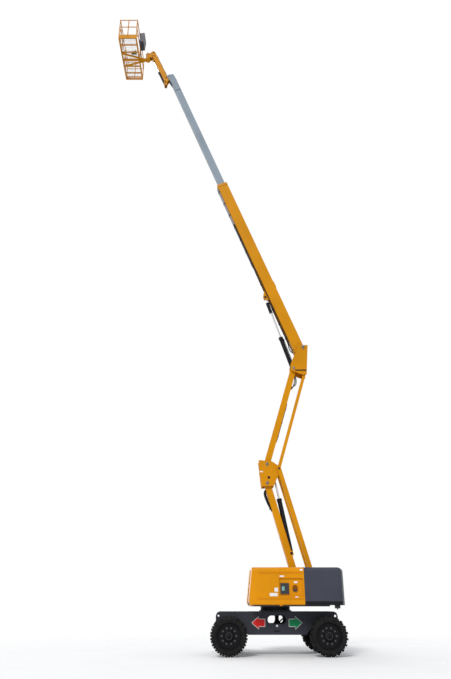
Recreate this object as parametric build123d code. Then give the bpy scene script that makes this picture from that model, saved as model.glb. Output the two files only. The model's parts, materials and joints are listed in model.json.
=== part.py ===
from build123d import *
import os
from math import atan2, cos, degrees, hypot, radians, sin

# Articulating boom lift, millimetres.
# +X is forward (the way the basket points), +Y is the left side, +Z is up.
# The origin is on the ground under the slewing axis, midway between the axles.
# An arm's own frame has x along the arm from its base pin and z square to it, upwards when it is level.

# Running gear
WHEELBASE = 2810.0
TYRE_RADIUS = 528.0
TYRE_WIDTH = 410.0
TYRE_CENTRE_Y = 1035.0
TYRE_SHOULDER = 62.0
TYRE_WALL_DROP = 70.0
TYRE_BEAD = 30.0
LUG_COUNT = 40
LUG_HEIGHT = 34.0
LUG_WIDTH = 46.0
LUG_REACH = 235.0
LUG_SHOULDER = 40.0
LUG_WALL_DROP = 62.0
RIM_RADIUS = 372.0
RIM_WALL = 26.0
RIM_LIP = 14.0
RIM_DISC_Y = 1105.0
RIM_DISC_THICK = 22.0
HUB_RADIUS = 150.0
HUB_INNER_Y = 925.0
HUB_OUTER_Y = 1178.0
SPINDLE_RADIUS = 55.0
SPINDLE_LENGTH = 70.0
SPINDLE_END_GAP = 6.0
KINGPIN_Y = 800.0
KINGPIN_RADIUS = 30.0
KNUCKLE_HALF_HEIGHT = 108.0
KNUCKLE_RADIUS = 68.0
KNUCKLE_CLEAR = 10.0
YOKE_GAP = 0.6
YOKE_THICK = 36.0
YOKE_HALF_X = 65.0
YOKE_BACK = 40.0
AXLE_HALF_X = 70.0
AXLE_HALF_Z = 95.0
DIFF_RADIUS = 165.0
DIFF_HALF_X = 140.0
AXLE_SEAT_HALF_Y = 210.0
STEER_ARM = 190.0
STEER_ARM_HALF_Y = 22.0
STEER_ARM_DROP = 40.0
STEER_ARM_THICK = 22.0
TIE_ROD_RADIUS = 14.0
TIE_ROD_EYE = 30.0
TIE_ROD_EYE_THICK = 30.0

# Chassis
CHASSIS_HALF_LENGTH = 1785.0
CHASSIS_HALF_WIDTH = 520.0
CHASSIS_PLATE = 25.0
CHASSIS_TOP = 1150.0
CHASSIS_BELLY = 532.0
CHASSIS_BELLY_HALF_X = 850.0
CHASSIS_AXLE_CLEAR = 705.0
CHASSIS_BOX_HALF_LENGTH = 1660.0
CHASSIS_END_ROUND = 110.0
WINDOW_LENGTH = 540.0
WINDOW_HEIGHT = 220.0
WINDOW_Z = 930.0
EYE_X = 1712.0
EYE_Z = 1030.0
EYE_BORE = 32.0

# Turret
SLEW_RADIUS = 425.0
SLEW_BORE = 300.0
DECK_BOTTOM = 1285.0
DECK_THICK = 40.0
DECK_FRONT = 690.0
DECK_REAR = -1480.0
DECK_HALF_WIDTH = 1140.0
TURRET_HALF_WIDTH = 1200.0
TURRET_TOP = 2333.0
MAST_Y = 320.0
MAST_PLATE = 30.0
BULKHEAD_Y = 375.0
BULKHEAD_PLATE = 20.0
BULKHEAD_TOP = 2290.0
HINGE_RADIUS = 12.0
HINGE_RISE = 6.0
HOOD_WALL = 25.0
HOOD_FRONT_TOP = 727.0
HOOD_FRONT_BOTTOM = 831.0
HOOD_BOTTOM = 1287.0
HOOD_REAR = -772.0
HOOD_TOP_ROUND = 90.0
HOOD_BOTTOM_ROUND = 60.0
HOOD_FRONT_ROUND = 110.0
HOOD_EDGE = 48.0
SEAM = 4.0
PANEL_X0 = -730.0
PANEL_X1 = -50.0
PANEL_Z0 = 1560.0
PANEL_Z1 = 2030.0
PANEL_DEPTH = 38.0
CONTROL_X0 = -326.0
CONTROL_X1 = -80.0
CONTROL_Z0 = 1610.0
CONTROL_Z1 = 1900.0
CONTROL_DEPTH = 34.0
TAIL_CORNER_X = -1840.0
TAIL_X = -2060.0
TAIL_ROUND = 150.0
TAIL_TOP_ROUND = 110.0
WEIGHT_BOTTOM = 1317.0
WEIGHT_SLOT_Y = 362.0
WEIGHT_SLOT_X = -1500.0
WEIGHT_WALL = 80.0
WEIGHT_ROOF = 110.0
ENGINE_LENGTH = 900.0
ENGINE_WIDTH = 440.0
ENGINE_HEIGHT = 600.0
ENGINE_FRONT = 380.0
ENGINE_INNER_Y = 520.0

# Risers: two equal arms, each with a tie that keeps the knee and the top upright level
RISER_LENGTH = 3525.0
LOWER_ANGLE = 74.5
UPPER_ANGLE = 107.0
BASE_PIN = (-800.0, 1545.0)
KNEE_RISE = (-7.0, 616.0)
TIE_OFFSET = (-388.0, 455.0)
RISER_HALF_Y = 130.0
LOWER_HALF_DEPTH = 105.0
UPPER_HALF_DEPTH = 102.0
RISER_WALL = 12.0
RISER_HUB = 95.0
HUB_TO_PLATE = 5.0
BASE_HUB_GAP = 8.0
PIN_RADIUS = 40.0
TIE_PIN_RADIUS = 30.0
PIN_CLEAR = 0.3
PLATE_Y = 200.0
PLATE_THICK = 30.0
LOWER_TIE_Y = 245.0
LOWER_TIE_THICK = 45.0
LOWER_TIE_DEPTH = 134.0
UPPER_TIE_Y = 145.0
UPPER_TIE_THICK = 40.0
UPPER_TIE_DEPTH = 100.0
TIE_EYE = 62.0
FORK_LENGTH = 1150.0
FORK_HALF_Y = 92.0
FORK_BACK = 12.0

# Riser cylinder, based on the lower riser and pushing on a lever of the knee
RISER_CYL_FOOT = (1270.0, 95.0)
RISER_CYL_LEVER = (-236.0, 268.0)
RISER_BARREL_RADIUS = 75.0
RISER_BARREL_LENGTH = 1705.0
RISER_ROD_RADIUS = 34.0
RISER_SLOT_HALF_Y = 86.0
RISER_SLOT_CLEAR = 8.0
RISER_SLOT_LENGTH = 1500.0
CYL_EYE_RADIUS = 56.0
CYL_EYE_HALF_Y = 40.0
CHEEK_GAP = 0.5
CHEEK_THICK = 25.0
CHEEK_RADIUS = 70.0
FOOT_PIN_RADIUS = 25.0

# Boom
BOOM_ANGLE = 69.3
BOOM_PIN_OFFSET = (-363.0, 807.0)
BOOM_FRONT = 7830.0
BOOM_BACK = -60.0
BOOM_DEPTH = 400.0
BOOM_ABOVE_PIN = 50.0
BOOM_HALF_Y = 150.0
BOOM_WALL = 10.0
BOOM_SOLID_END = 90.0
BOOM_PIN_RADIUS = 45.0
BOOM_HUB = 75.0
BOOM_COLLAR = 140.0
SLIDE_CLEAR = 0.5
EXT_DEPTH = 270.0
EXT_HALF_Y = 100.0
EXT_WALL = 10.0
EXT_BACK = 6500.0
EXT_FRONT = 13750.0
EXT_PAD = 120.0
TRAY_BACK = 3800.0
TRAY_FRONT = 7690.0
TRAY_HALF_Y = 60.0
TRAY_DEPTH = 55.0
TRAY_WALL = 6.0

# Boom cylinder, footed on the top pin of the upper riser
BOOM_CYL_EYE = (2400.0, -457.0)
BOOM_BARREL_RADIUS = 72.0
BOOM_BARREL_HUB = 80.0
BOOM_BARREL_HALF_Y = 86.0
BOOM_BARREL_LENGTH = 1327.0
BOOM_ROD_RADIUS = 36.0
BOOM_ROD_SLEEVE = 690.0
BOOM_ROD_SLEEVE_RADIUS = 55.0
BOOM_ROD_INSIDE = 900.0
BOOM_ROD_NECK = 230.0
GLAND_LENGTH = 90.0
GLAND_RISE = 8.0

# Boom head and jib
HEAD_PIN = (14250.0, -280.0)
HEAD_PLATE = 25.0
HEAD_BACK = 13350.0
HEAD_PIN_RADIUS = 30.0
HEAD_ROUND = 85.0
JIB_FROM_HEAD = (120.0, -51.0)
JIB_LENGTH = 1690.0
JIB_ANGLE = 67.9
JIB_HALF_DEPTH = 80.0
JIB_HALF_Y = 70.0
JIB_WALL = 8.0
JIB_PIN_RADIUS = 30.0
JIB_PLATE_Y = 75.0
JIB_PLATE_THICK = 20.0
JIB_LINK_OFFSET = (15.0, -260.0)
JIB_LINK_Y = 110.0
JIB_LINK_THICK = 20.0
JIB_LINK_DEPTH = 60.0
JIB_LINK_EYE = 42.0
JIB_LINK_PIN = 22.0
JIB_CYL_FOOT = (20.0, -405.0)
JIB_CYL_EYE = (1300.0, -166.0)
JIB_BARREL_RADIUS = 40.0
JIB_BARREL_LENGTH = 860.0
JIB_ROD_RADIUS = 20.0
JIB_CYL_FOOT_PIN = 20.0
JIB_CYL_EYE_RADIUS = 34.0

# Basket
ROTATOR_REACH = 253.0
ROTATOR_RADIUS = 95.0
ROTATOR_SHAFT = 45.0
ROTATOR_HEIGHT = 300.0
FLOOR_DROP = 301.0
FLOOR_FRAME = 50.0
FLOOR_BAR = 40.0
MESH_THICK = 4.0
ARM_DEPTH = 55.0
ARM_WIDTH = 60.0
ARM_SPREAD = 360.0
BASKET_REACH = 370.0
BASKET_DEPTH = 800.0
BASKET_LENGTH = 2300.0
RAIL_HEIGHT = 1100.0
MID_RAIL_HEIGHT = 650.0
RAIL_RADIUS = 20.0
BAR_RADIUS = 18.0
BAR_SET = 1.0
TOE_HEIGHT = 180.0
TOE_THICK = 4.0
RAIL_GAP = 0.3
GATE_WIDTH = 700.0
GATE_GAP = 12.0
GATE_HINGE = 20.0
CONSOLE_Y0 = -50.0
CONSOLE_Y1 = 450.0
CONSOLE_DEPTH = 228.0
CONSOLE_HEIGHT = 520.0
ANCHOR_Y = 620.0
ANCHOR_Z = 760.0
ANCHOR_REACH = 60.0
ANCHOR_BORE = 16.0
ANCHOR_RADIUS = 40.0
ANCHOR_THICK = 16.0
PEDAL_SIZE = (230.0, 150.0, 90.0)
PEDAL_Y = 300.0
PEDAL_BACK = 120.0


def shift(point, offset):
    """A point of the XZ plane moved by an offset."""
    return (point[0] + offset[0], point[1] + offset[1])


def along(point, angle, distance, rise=0.0):
    """The point at a distance along, and a rise above, a line at an angle."""
    turn = radians(angle)
    x = point[0] + distance * cos(turn) - rise * sin(turn)
    z = point[1] + distance * sin(turn) + rise * cos(turn)
    return (x, z)


# Pins of the linkage at rest, as (x, z)
LOWER_TIE_BASE = shift(BASE_PIN, TIE_OFFSET)
KNEE_LOW = along(BASE_PIN, LOWER_ANGLE, RISER_LENGTH)
KNEE_TIE = shift(KNEE_LOW, TIE_OFFSET)
KNEE_HIGH = shift(KNEE_LOW, KNEE_RISE)
TOP_PIN = along(KNEE_HIGH, UPPER_ANGLE, RISER_LENGTH)
TOP_TIE = along(KNEE_TIE, UPPER_ANGLE, RISER_LENGTH)
BOOM_PIN = shift(TOP_PIN, BOOM_PIN_OFFSET)
RISER_EYE = shift(KNEE_LOW, RISER_CYL_LEVER)
RISER_FOOT = along(BASE_PIN, LOWER_ANGLE, *RISER_CYL_FOOT)
BOOM_EYE = along(BOOM_PIN, BOOM_ANGLE, *BOOM_CYL_EYE)
HEAD = along(BOOM_PIN, BOOM_ANGLE, *HEAD_PIN)
JIB_BASE = shift(HEAD, JIB_FROM_HEAD)
JIB_TOP = along(JIB_BASE, JIB_ANGLE, JIB_LENGTH)
LINK_BASE = shift(JIB_BASE, JIB_LINK_OFFSET)
LINK_TOP = shift(JIB_TOP, JIB_LINK_OFFSET)
JIB_FOOT = shift(JIB_BASE, JIB_CYL_FOOT)
JIB_EYE = along(JIB_BASE, JIB_ANGLE, *JIB_CYL_EYE)
DECK_TOP = DECK_BOTTOM + DECK_THICK
ROTATOR_X = JIB_TOP[0] + ROTATOR_REACH
FLOOR_Z = JIB_TOP[1] - FLOOR_DROP
BASKET_INNER = ROTATOR_X + BASKET_REACH
BASKET_OUTER = BASKET_INNER + BASKET_DEPTH
PLATE_OUTER = PLATE_Y + PLATE_THICK
HINGE_Y = BULKHEAD_Y + BULKHEAD_PLATE / 2
HINGE_Z = BULKHEAD_TOP + HINGE_RISE
FRAME_BOTTOM = FLOOR_Z - FLOOR_FRAME
ARM_BOTTOM = FRAME_BOTTOM - ARM_DEPTH


def span(first, second):
    """Length and angle of the line between two points."""
    dx = second[0] - first[0]
    dz = second[1] - first[1]
    return hypot(dx, dz), degrees(atan2(dz, dx))


def block(x0, x1, y0, y1, z0, z1):
    return Pos((x0 + x1) / 2, (y0 + y1) / 2, (z0 + z1) / 2) * Box(x1 - x0, y1 - y0, z1 - z0)


def rod_x(y, z, radius, x0, x1):
    return Pos((x0 + x1) / 2, y, z) * Rot(0, 90, 0) * Cylinder(radius, x1 - x0)


def rod_y(point, radius, y0, y1):
    return Pos(point[0], (y0 + y1) / 2, point[1]) * Rot(90, 0, 0) * Cylinder(radius, y1 - y0)


def rod_z(x, y, radius, z0, z1):
    return Pos(x, y, (z0 + z1) / 2) * Cylinder(radius, z1 - z0)


def plate(points, y0, y1):
    """A plate with an outline in the XZ plane, between two values of Y."""
    outline = make_face(Polyline([(x, y0, z) for x, z in points], close=True))
    return extrude(outline, amount=y1 - y0, dir=(0, 1, 0))


def pair(shape):
    """A shape and its mirror image across the middle of the machine."""
    return shape + mirror(shape, about=Plane.XZ)


def on_arm(pin, angle, shape):
    """A shape drawn in an arm's own frame, set at its pin and turned to its angle."""
    return Pos(pin[0], 0, pin[1]) * Rot(0, -angle, 0) * shape


def tie_bars(length, y0, thick, depth, pin_radius):
    """Two flat bars with a round eye at each end."""
    y1 = y0 + thick
    bar = block(0, length, y0, y1, -depth / 2, depth / 2)
    for x in (0, length):
        bar += rod_y((x, 0), max(TIE_EYE, depth / 2), y0, y1)
    for x in (0, length):
        bar -= rod_y((x, 0), pin_radius + PIN_CLEAR, y0, y1)
    return pair(bar)


def chassis_frame():
    """Box frame between two long side plates, raised over the axles."""
    corner = CHASSIS_HALF_LENGTH - CHASSIS_END_ROUND
    half = [
        (CHASSIS_BELLY_HALF_X, CHASSIS_BELLY),
        (CHASSIS_BELLY_HALF_X + 130, CHASSIS_AXLE_CLEAR),
        (CHASSIS_BOX_HALF_LENGTH, CHASSIS_AXLE_CLEAR),
        (CHASSIS_HALF_LENGTH, CHASSIS_AXLE_CLEAR + 190),
        (CHASSIS_HALF_LENGTH, CHASSIS_TOP - CHASSIS_END_ROUND),
        (corner + CHASSIS_END_ROUND * 0.7, CHASSIS_TOP - CHASSIS_END_ROUND * 0.3),
        (corner, CHASSIS_TOP),
    ]
    outline = half + [(-x, z) for x, z in reversed(half)]
    inner_y = CHASSIS_HALF_WIDTH - CHASSIS_PLATE
    side = plate(outline, inner_y, CHASSIS_HALF_WIDTH)
    straight = WINDOW_LENGTH / 2 - WINDOW_HEIGHT / 2
    side -= block(-straight, straight, inner_y, CHASSIS_HALF_WIDTH,
                  WINDOW_Z - WINDOW_HEIGHT / 2, WINDOW_Z + WINDOW_HEIGHT / 2)
    for x in (-straight, straight):
        side -= rod_y((x, WINDOW_Z), WINDOW_HEIGHT / 2, inner_y, CHASSIS_HALF_WIDTH)
    for x in (-EYE_X, EYE_X):
        side -= rod_y((x, EYE_Z), EYE_BORE, inner_y, CHASSIS_HALF_WIDTH)
    frame = pair(side)
    box_x = CHASSIS_BOX_HALF_LENGTH
    belly_x = CHASSIS_BELLY_HALF_X
    thick = CHASSIS_PLATE
    frame += block(-box_x, box_x, -inner_y, inner_y, CHASSIS_TOP - thick, CHASSIS_TOP)
    frame += block(-belly_x, belly_x, -inner_y, inner_y, CHASSIS_BELLY, CHASSIS_BELLY + thick)
    for sign in (-1, 1):
        end0, end1 = sorted((sign * box_x, sign * (box_x - thick)))
        frame += block(end0, end1, -inner_y, inner_y, CHASSIS_AXLE_CLEAR, CHASSIS_TOP)
        wall0, wall1 = sorted((sign * belly_x, sign * (belly_x - thick)))
        frame += block(wall0, wall1, -inner_y, inner_y, CHASSIS_BELLY, CHASSIS_AXLE_CLEAR + thick)
        seat0, seat1 = sorted((sign * belly_x, sign * box_x))
        frame += block(seat0, seat1, -inner_y, inner_y, CHASSIS_AXLE_CLEAR, CHASSIS_AXLE_CLEAR + thick)
    return frame


def axle(sign):
    """Axle beam with a differential housing, a seat under the chassis and a yoke at each end."""
    x = sign * WHEELBASE / 2
    z = TYRE_RADIUS
    yoke_y = KINGPIN_Y - KNUCKLE_RADIUS - KNUCKLE_CLEAR
    yoke_back = yoke_y - YOKE_BACK
    beam = block(x - AXLE_HALF_X, x + AXLE_HALF_X, -yoke_y, yoke_y, z - AXLE_HALF_Z, z + AXLE_HALF_Z)
    beam += rod_x(0, z, DIFF_RADIUS, x - DIFF_HALF_X, x + DIFF_HALF_X)
    beam += block(x - DIFF_HALF_X, x + DIFF_HALF_X, -AXLE_SEAT_HALF_Y, AXLE_SEAT_HALF_Y,
                  z + AXLE_HALF_Z, CHASSIS_AXLE_CLEAR)
    inner = KNUCKLE_HALF_HEIGHT + YOKE_GAP
    outer = inner + YOKE_THICK
    yoke = block(x - YOKE_HALF_X, x + YOKE_HALF_X, yoke_back, yoke_y, z - outer, z + outer)
    for z0 in (z + inner, z - outer):
        yoke += block(x - YOKE_HALF_X, x + YOKE_HALF_X, yoke_back, KINGPIN_Y, z0, z0 + YOKE_THICK)
        yoke += rod_z(x, KINGPIN_Y, YOKE_HALF_X, z0, z0 + YOKE_THICK)
    yoke -= rod_z(x, KINGPIN_Y, KINGPIN_RADIUS + PIN_CLEAR, z - outer, z + outer)
    return beam + pair(yoke)


def knuckle(sign, side):
    """Steering knuckle: kingpin, spindle and an arm that points to the middle of the machine."""
    x = sign * WHEELBASE / 2
    z = TYRE_RADIUS
    half_z = KNUCKLE_HALF_HEIGHT
    pin_z = half_z + YOKE_GAP + YOKE_THICK
    shape = rod_z(x, KINGPIN_Y, KNUCKLE_RADIUS, z - half_z, z + half_z)
    shape += rod_z(x, KINGPIN_Y, KINGPIN_RADIUS, z - pin_z, z + pin_z)
    shape += rod_y((x, z), SPINDLE_RADIUS, KINGPIN_Y, HUB_INNER_Y + SPINDLE_LENGTH)
    tip = x - sign * STEER_ARM
    arm0, arm1 = sorted((x, tip))
    arm_z = z - STEER_ARM_DROP
    shape += block(arm0, arm1, KINGPIN_Y - STEER_ARM_HALF_Y, KINGPIN_Y + STEER_ARM_HALF_Y,
                   arm_z, arm_z + STEER_ARM_THICK)
    shape += rod_z(tip, KINGPIN_Y, TIE_ROD_EYE, arm_z, arm_z + STEER_ARM_THICK)
    return shape if side > 0 else mirror(shape, about=Plane.XZ)


def tie_rod(sign):
    """Steering tie rod, its eyes under the arms of the two knuckles."""
    x = sign * (WHEELBASE / 2 - STEER_ARM)
    top = TYRE_RADIUS - STEER_ARM_DROP - YOKE_GAP
    eye = rod_z(x, KINGPIN_Y, TIE_ROD_EYE, top - TIE_ROD_EYE_THICK, top)
    bar = rod_y((x, top - TIE_ROD_EYE_THICK / 2), TIE_ROD_RADIUS, -KINGPIN_Y, KINGPIN_Y)
    return bar + pair(eye)


def wheel_profile(points):
    """A ring turned about the wheel's axle, from (radius, y) points."""
    face = make_face(Polyline([(r, y, 0) for r, y in points], close=True))
    return revolve(face, axis=Axis.Y)


def place_wheel(shape, sign, side):
    placed = Pos(sign * WHEELBASE / 2, 0, TYRE_RADIUS) * shape
    return placed if side > 0 else mirror(placed, about=Plane.XZ)


def flat_ring(points, count):
    """A ring of flat facets around the wheel's axle, from (radius, y) points; a radius is that of a facet's middle."""
    half = radians(180 / count)
    corners = []
    for k in range(count):
        turn = (2 * k + 1) * half
        corners.append([(r / cos(half) * cos(turn), y, r / cos(half) * sin(turn)) for r, y in points])
    faces = []
    for k in range(count):
        first = corners[k - 1]
        second = corners[k]
        for j in range(len(points)):
            quad = [first[j - 1], first[j], second[j], second[j - 1]]
            faces.append(make_face(Polyline(quad, close=True)).face())
    return Solid(Shell(faces))


def lug(k):
    """A tread bar from one shoulder past the middle of the tyre; the bars come from each side in turn."""
    side = 1 if k % 2 else -1
    edge = TYRE_WIDTH / 2
    crown = TYRE_RADIUS - LUG_HEIGHT
    section = [
        (crown - LUG_HEIGHT, edge - LUG_REACH), (TYRE_RADIUS, edge - LUG_REACH), (TYRE_RADIUS, edge - LUG_SHOULDER),
        (TYRE_RADIUS - LUG_WALL_DROP, edge), (crown - LUG_WALL_DROP, edge - LUG_SHOULDER),
    ]
    points = [(r, TYRE_CENTRE_Y + side * y, -LUG_WIDTH / 2) for r, y in section]
    bar = extrude(make_face(Polyline(points, close=True)), amount=LUG_WIDTH, dir=(0, 0, 1))
    return Rot(0, 360 * k / LUG_COUNT, 0) * bar


def tyre(sign, side):
    """Tyre of flat facets, one for each tread bar, so that it stays light."""
    y0 = TYRE_CENTRE_Y - TYRE_WIDTH / 2
    y1 = TYRE_CENTRE_Y + TYRE_WIDTH / 2
    bore = RIM_RADIUS + PIN_CLEAR
    crown = TYRE_RADIUS - LUG_HEIGHT
    wall = crown - TYRE_WALL_DROP
    points = [
        (bore, y0 + TYRE_BEAD), (wall, y0), (crown, y0 + TYRE_SHOULDER),
        (crown, y1 - TYRE_SHOULDER), (wall, y1), (bore, y1 - TYRE_BEAD),
    ]
    body = flat_ring(points, LUG_COUNT)
    body = body.fuse(*[lug(k) for k in range(LUG_COUNT)])
    return place_wheel(body, sign, side)


def rim(sign, side):
    """Rim with its disc and the hub that turns on the spindle."""
    y0 = TYRE_CENTRE_Y - TYRE_WIDTH / 2 + TYRE_BEAD
    y1 = TYRE_CENTRE_Y + TYRE_WIDTH / 2 - TYRE_BEAD
    inner = RIM_RADIUS - RIM_WALL
    bore = SPINDLE_RADIUS + PIN_CLEAR
    bore_y = HUB_INNER_Y + SPINDLE_LENGTH + SPINDLE_END_GAP
    disc_y = RIM_DISC_Y + RIM_DISC_THICK
    points = [
        (0, bore_y), (bore, bore_y), (bore, HUB_INNER_Y), (HUB_RADIUS, HUB_INNER_Y),
        (HUB_RADIUS, RIM_DISC_Y), (inner, RIM_DISC_Y), (inner, y0), (RIM_RADIUS, y0),
        (RIM_RADIUS, y1), (inner, y1), (inner, disc_y), (HUB_RADIUS, disc_y),
        (HUB_RADIUS * 0.93, HUB_OUTER_Y - 20), (HUB_RADIUS * 0.75, HUB_OUTER_Y), (0, HUB_OUTER_Y),
    ]
    return place_wheel(wheel_profile(points), sign, side)


def slew_ring():
    gap = PIN_CLEAR
    ring = rod_z(0, 0, SLEW_RADIUS, CHASSIS_TOP, DECK_BOTTOM - gap)
    return ring - rod_z(0, 0, SLEW_BORE, CHASSIS_TOP, DECK_BOTTOM)


def turret_frame():
    """Deck, the two mast plates with the riser's pins, and the bulkheads that carry the hoods."""
    frame = block(DECK_REAR, DECK_FRONT, -DECK_HALF_WIDTH, DECK_HALF_WIDTH, DECK_BOTTOM, DECK_TOP)
    base_x, base_z = BASE_PIN
    tie_x, tie_z = LOWER_TIE_BASE
    outline = [
        (base_x + 370, DECK_TOP), (base_x + 150, base_z + 95), (tie_x + 130, tie_z + 110),
        (tie_x - 90, tie_z + 110), (tie_x - 130, tie_z - 60), (tie_x - 130, DECK_TOP),
    ]
    mast_outer = MAST_Y + MAST_PLATE
    frame += pair(plate(outline, MAST_Y, mast_outer))
    frame += rod_y(BASE_PIN, PIN_RADIUS, -mast_outer, mast_outer)
    frame += pair(rod_y(LOWER_TIE_BASE, TIE_PIN_RADIUS, LOWER_TIE_Y - HUB_TO_PLATE, mast_outer))
    bulkhead = block(HOOD_REAR, DECK_FRONT, BULKHEAD_Y, BULKHEAD_Y + BULKHEAD_PLATE,
                     DECK_TOP, BULKHEAD_TOP)
    bulkhead += rod_x(HINGE_Y, HINGE_Z, HINGE_RADIUS, HOOD_REAR, DECK_FRONT)
    return frame + pair(bulkhead)


def hood_form(inset):
    """The hood's outer form, or the space inside it, drawn in by an inset."""
    top = TURRET_TOP - inset
    bottom = HOOD_BOTTOM
    outer = TURRET_HALF_WIDTH - inset
    inner = HINGE_Y + HINGE_RADIUS + PIN_CLEAR
    top_round = HOOD_TOP_ROUND - inset
    bottom_round = HOOD_BOTTOM_ROUND - inset
    front_top = HOOD_FRONT_TOP - inset
    front_bottom = HOOD_FRONT_BOTTOM - inset
    section = [
        (0, inner, top), (0, outer - top_round, top), (0, outer - 0.3 * top_round, top - 0.3 * top_round),
        (0, outer, top - top_round), (0, outer, bottom + bottom_round),
        (0, outer - bottom_round, bottom), (0, inner, bottom),
    ]
    across = make_face(Polyline(section, close=True))
    body = Pos(HOOD_REAR, 0, 0) * extrude(across, amount=HOOD_FRONT_BOTTOM - HOOD_REAR, dir=(1, 0, 0))
    corner = HOOD_FRONT_ROUND - inset
    plan = [
        (HOOD_REAR, inner), (front_bottom, inner), (front_bottom, outer - corner),
        (front_bottom - 0.3 * corner, outer - 0.3 * corner), (front_bottom - corner, outer),
        (HOOD_REAR, outer),
    ]
    floor = make_face(Polyline([(x, y, bottom) for x, y in plan], close=True))
    body &= extrude(floor, amount=top - bottom, dir=(0, 0, 1))
    slope = [(HOOD_REAR, bottom), (front_bottom - 0.6 * corner, bottom), (front_bottom, bottom + corner),
             (front_top, top), (HOOD_REAR, top)]
    return body & plate(slope, inner, outer)


def plain_hood():
    """Lifting hood, open below and inboard."""
    shell = hood_form(0) - hood_form(HOOD_WALL)
    inner = HINGE_Y + HINGE_RADIUS + PIN_CLEAR
    edge_top = TURRET_TOP - HOOD_WALL
    shell += block(HOOD_REAR, DECK_FRONT, inner, inner + HOOD_WALL, TURRET_TOP - HOOD_EDGE, edge_top)
    floor_cut = HOOD_BOTTOM + 1
    shell -= block(HOOD_REAR, HOOD_FRONT_BOTTOM, inner, TURRET_HALF_WIDTH - HOOD_BOTTOM_ROUND,
                   HOOD_BOTTOM - 1, floor_cut)
    return shell


def recessed_hood():
    """The near hood: the plain hood with a tray set back in its side."""
    outer = TURRET_HALF_WIDTH
    back = outer - PANEL_DEPTH
    wall = HOOD_WALL
    tray = block(PANEL_X0 - wall, PANEL_X1 + wall, back - wall, outer - wall / 2, PANEL_Z0 - wall, PANEL_Z1 + wall)
    hood = plain_hood() + tray
    return hood - block(PANEL_X0, PANEL_X1, back, outer, PANEL_Z0, PANEL_Z1)


def control_box():
    back = TURRET_HALF_WIDTH - PANEL_DEPTH
    return block(CONTROL_X0, CONTROL_X1, back, back + CONTROL_DEPTH, CONTROL_Z0, CONTROL_Z1)


def tail_form(bottom, top, wall, roof_round):
    """The counterweight's form between two heights, its tail curved in plan."""
    outer = TURRET_HALF_WIDTH - wall
    front = HOOD_REAR - SEAM
    corner_x = TAIL_CORNER_X + wall
    tail_x = TAIL_X + wall
    tail = ThreePointArc((corner_x, outer, bottom), (tail_x, 0, bottom), (corner_x, -outer, bottom))
    sides = Polyline((corner_x, -outer, bottom), (front - wall, -outer, bottom),
                     (front - wall, outer, bottom), (corner_x, outer, bottom))
    body = extrude(make_face([tail, sides]), amount=top - bottom, dir=(0, 0, 1))
    corners = body.edges().filter_by(Axis.Z).sort_by(Axis.X)[:2]
    body = fillet(corners, max(TAIL_ROUND - wall, 1.0))
    if roof_round > 0:
        rim_edges = body.faces().sort_by(Axis.Z)[-1].edges()
        kept = [edge for edge in rim_edges if edge.center().X < front - wall - 1]
        body = fillet(kept, roof_round)
    return body


def counterweight():
    """Cast tail weight, open along the middle for the folded risers and cored from below."""
    body = tail_form(WEIGHT_BOTTOM, TURRET_TOP, 0, TAIL_TOP_ROUND)
    core = tail_form(WEIGHT_BOTTOM, TURRET_TOP - WEIGHT_ROOF, WEIGHT_WALL, 0)
    slot_wall = WEIGHT_SLOT_Y + WEIGHT_WALL
    core -= block(WEIGHT_SLOT_X - WEIGHT_WALL, HOOD_REAR, -slot_wall, slot_wall, WEIGHT_BOTTOM, TURRET_TOP)
    body -= core
    deck_gap = SEAM
    body -= block(DECK_REAR - deck_gap, HOOD_REAR, -DECK_HALF_WIDTH - deck_gap, DECK_HALF_WIDTH + deck_gap,
                  WEIGHT_BOTTOM, DECK_TOP)
    return body - block(WEIGHT_SLOT_X, HOOD_REAR, -WEIGHT_SLOT_Y, WEIGHT_SLOT_Y, WEIGHT_BOTTOM, TURRET_TOP)


def engine_block():
    return block(ENGINE_FRONT - ENGINE_LENGTH, ENGINE_FRONT, -ENGINE_INNER_Y - ENGINE_WIDTH, -ENGINE_INNER_Y,
                 DECK_TOP, DECK_TOP + ENGINE_HEIGHT)


def riser_cylinder_axis():
    """Angle of the riser cylinder in the lower riser's own frame, and its length at rest."""
    length, angle = span(RISER_FOOT, RISER_EYE)
    return length, angle - LOWER_ANGLE


def lower_riser():
    """Hollow box arm, its rear face slotted for the riser cylinder."""
    depth = LOWER_HALF_DEPTH
    half_y = RISER_HALF_Y
    wall = RISER_WALL
    arm = block(0, RISER_LENGTH, -half_y, half_y, -depth, depth)
    arm -= block(RISER_HUB + wall, RISER_LENGTH - RISER_HUB - wall, -half_y + wall, half_y - wall,
                 -depth + wall, depth - wall)
    arm += rod_y((0, 0), RISER_HUB, -MAST_Y + BASE_HUB_GAP, MAST_Y - BASE_HUB_GAP)
    arm += rod_y((RISER_LENGTH, 0), depth, -PLATE_Y + HUB_TO_PLATE, PLATE_Y - HUB_TO_PLATE)
    length, tilt = riser_cylinder_axis()
    foot_x, foot_z = RISER_CYL_FOOT
    below = RISER_BARREL_RADIUS + RISER_SLOT_CLEAR
    slot = block(-CHEEK_RADIUS - RISER_SLOT_CLEAR, RISER_SLOT_LENGTH, -RISER_SLOT_HALF_Y, RISER_SLOT_HALF_Y,
                 -below, length / 2)
    arm -= Pos(foot_x, 0, foot_z) * Rot(0, -tilt, 0) * slot
    cheek = block(foot_x - CHEEK_RADIUS, foot_x + CHEEK_RADIUS, half_y - CHEEK_THICK, half_y,
                  -depth + wall, foot_z + CHEEK_RADIUS * 0.8)
    arm += pair(cheek)
    arm += rod_y(RISER_CYL_FOOT, FOOT_PIN_RADIUS, -half_y, half_y)
    for x in (0, RISER_LENGTH):
        arm -= rod_y((x, 0), PIN_RADIUS + PIN_CLEAR, -MAST_Y, MAST_Y)
    return on_arm(BASE_PIN, LOWER_ANGLE, arm)


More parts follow.
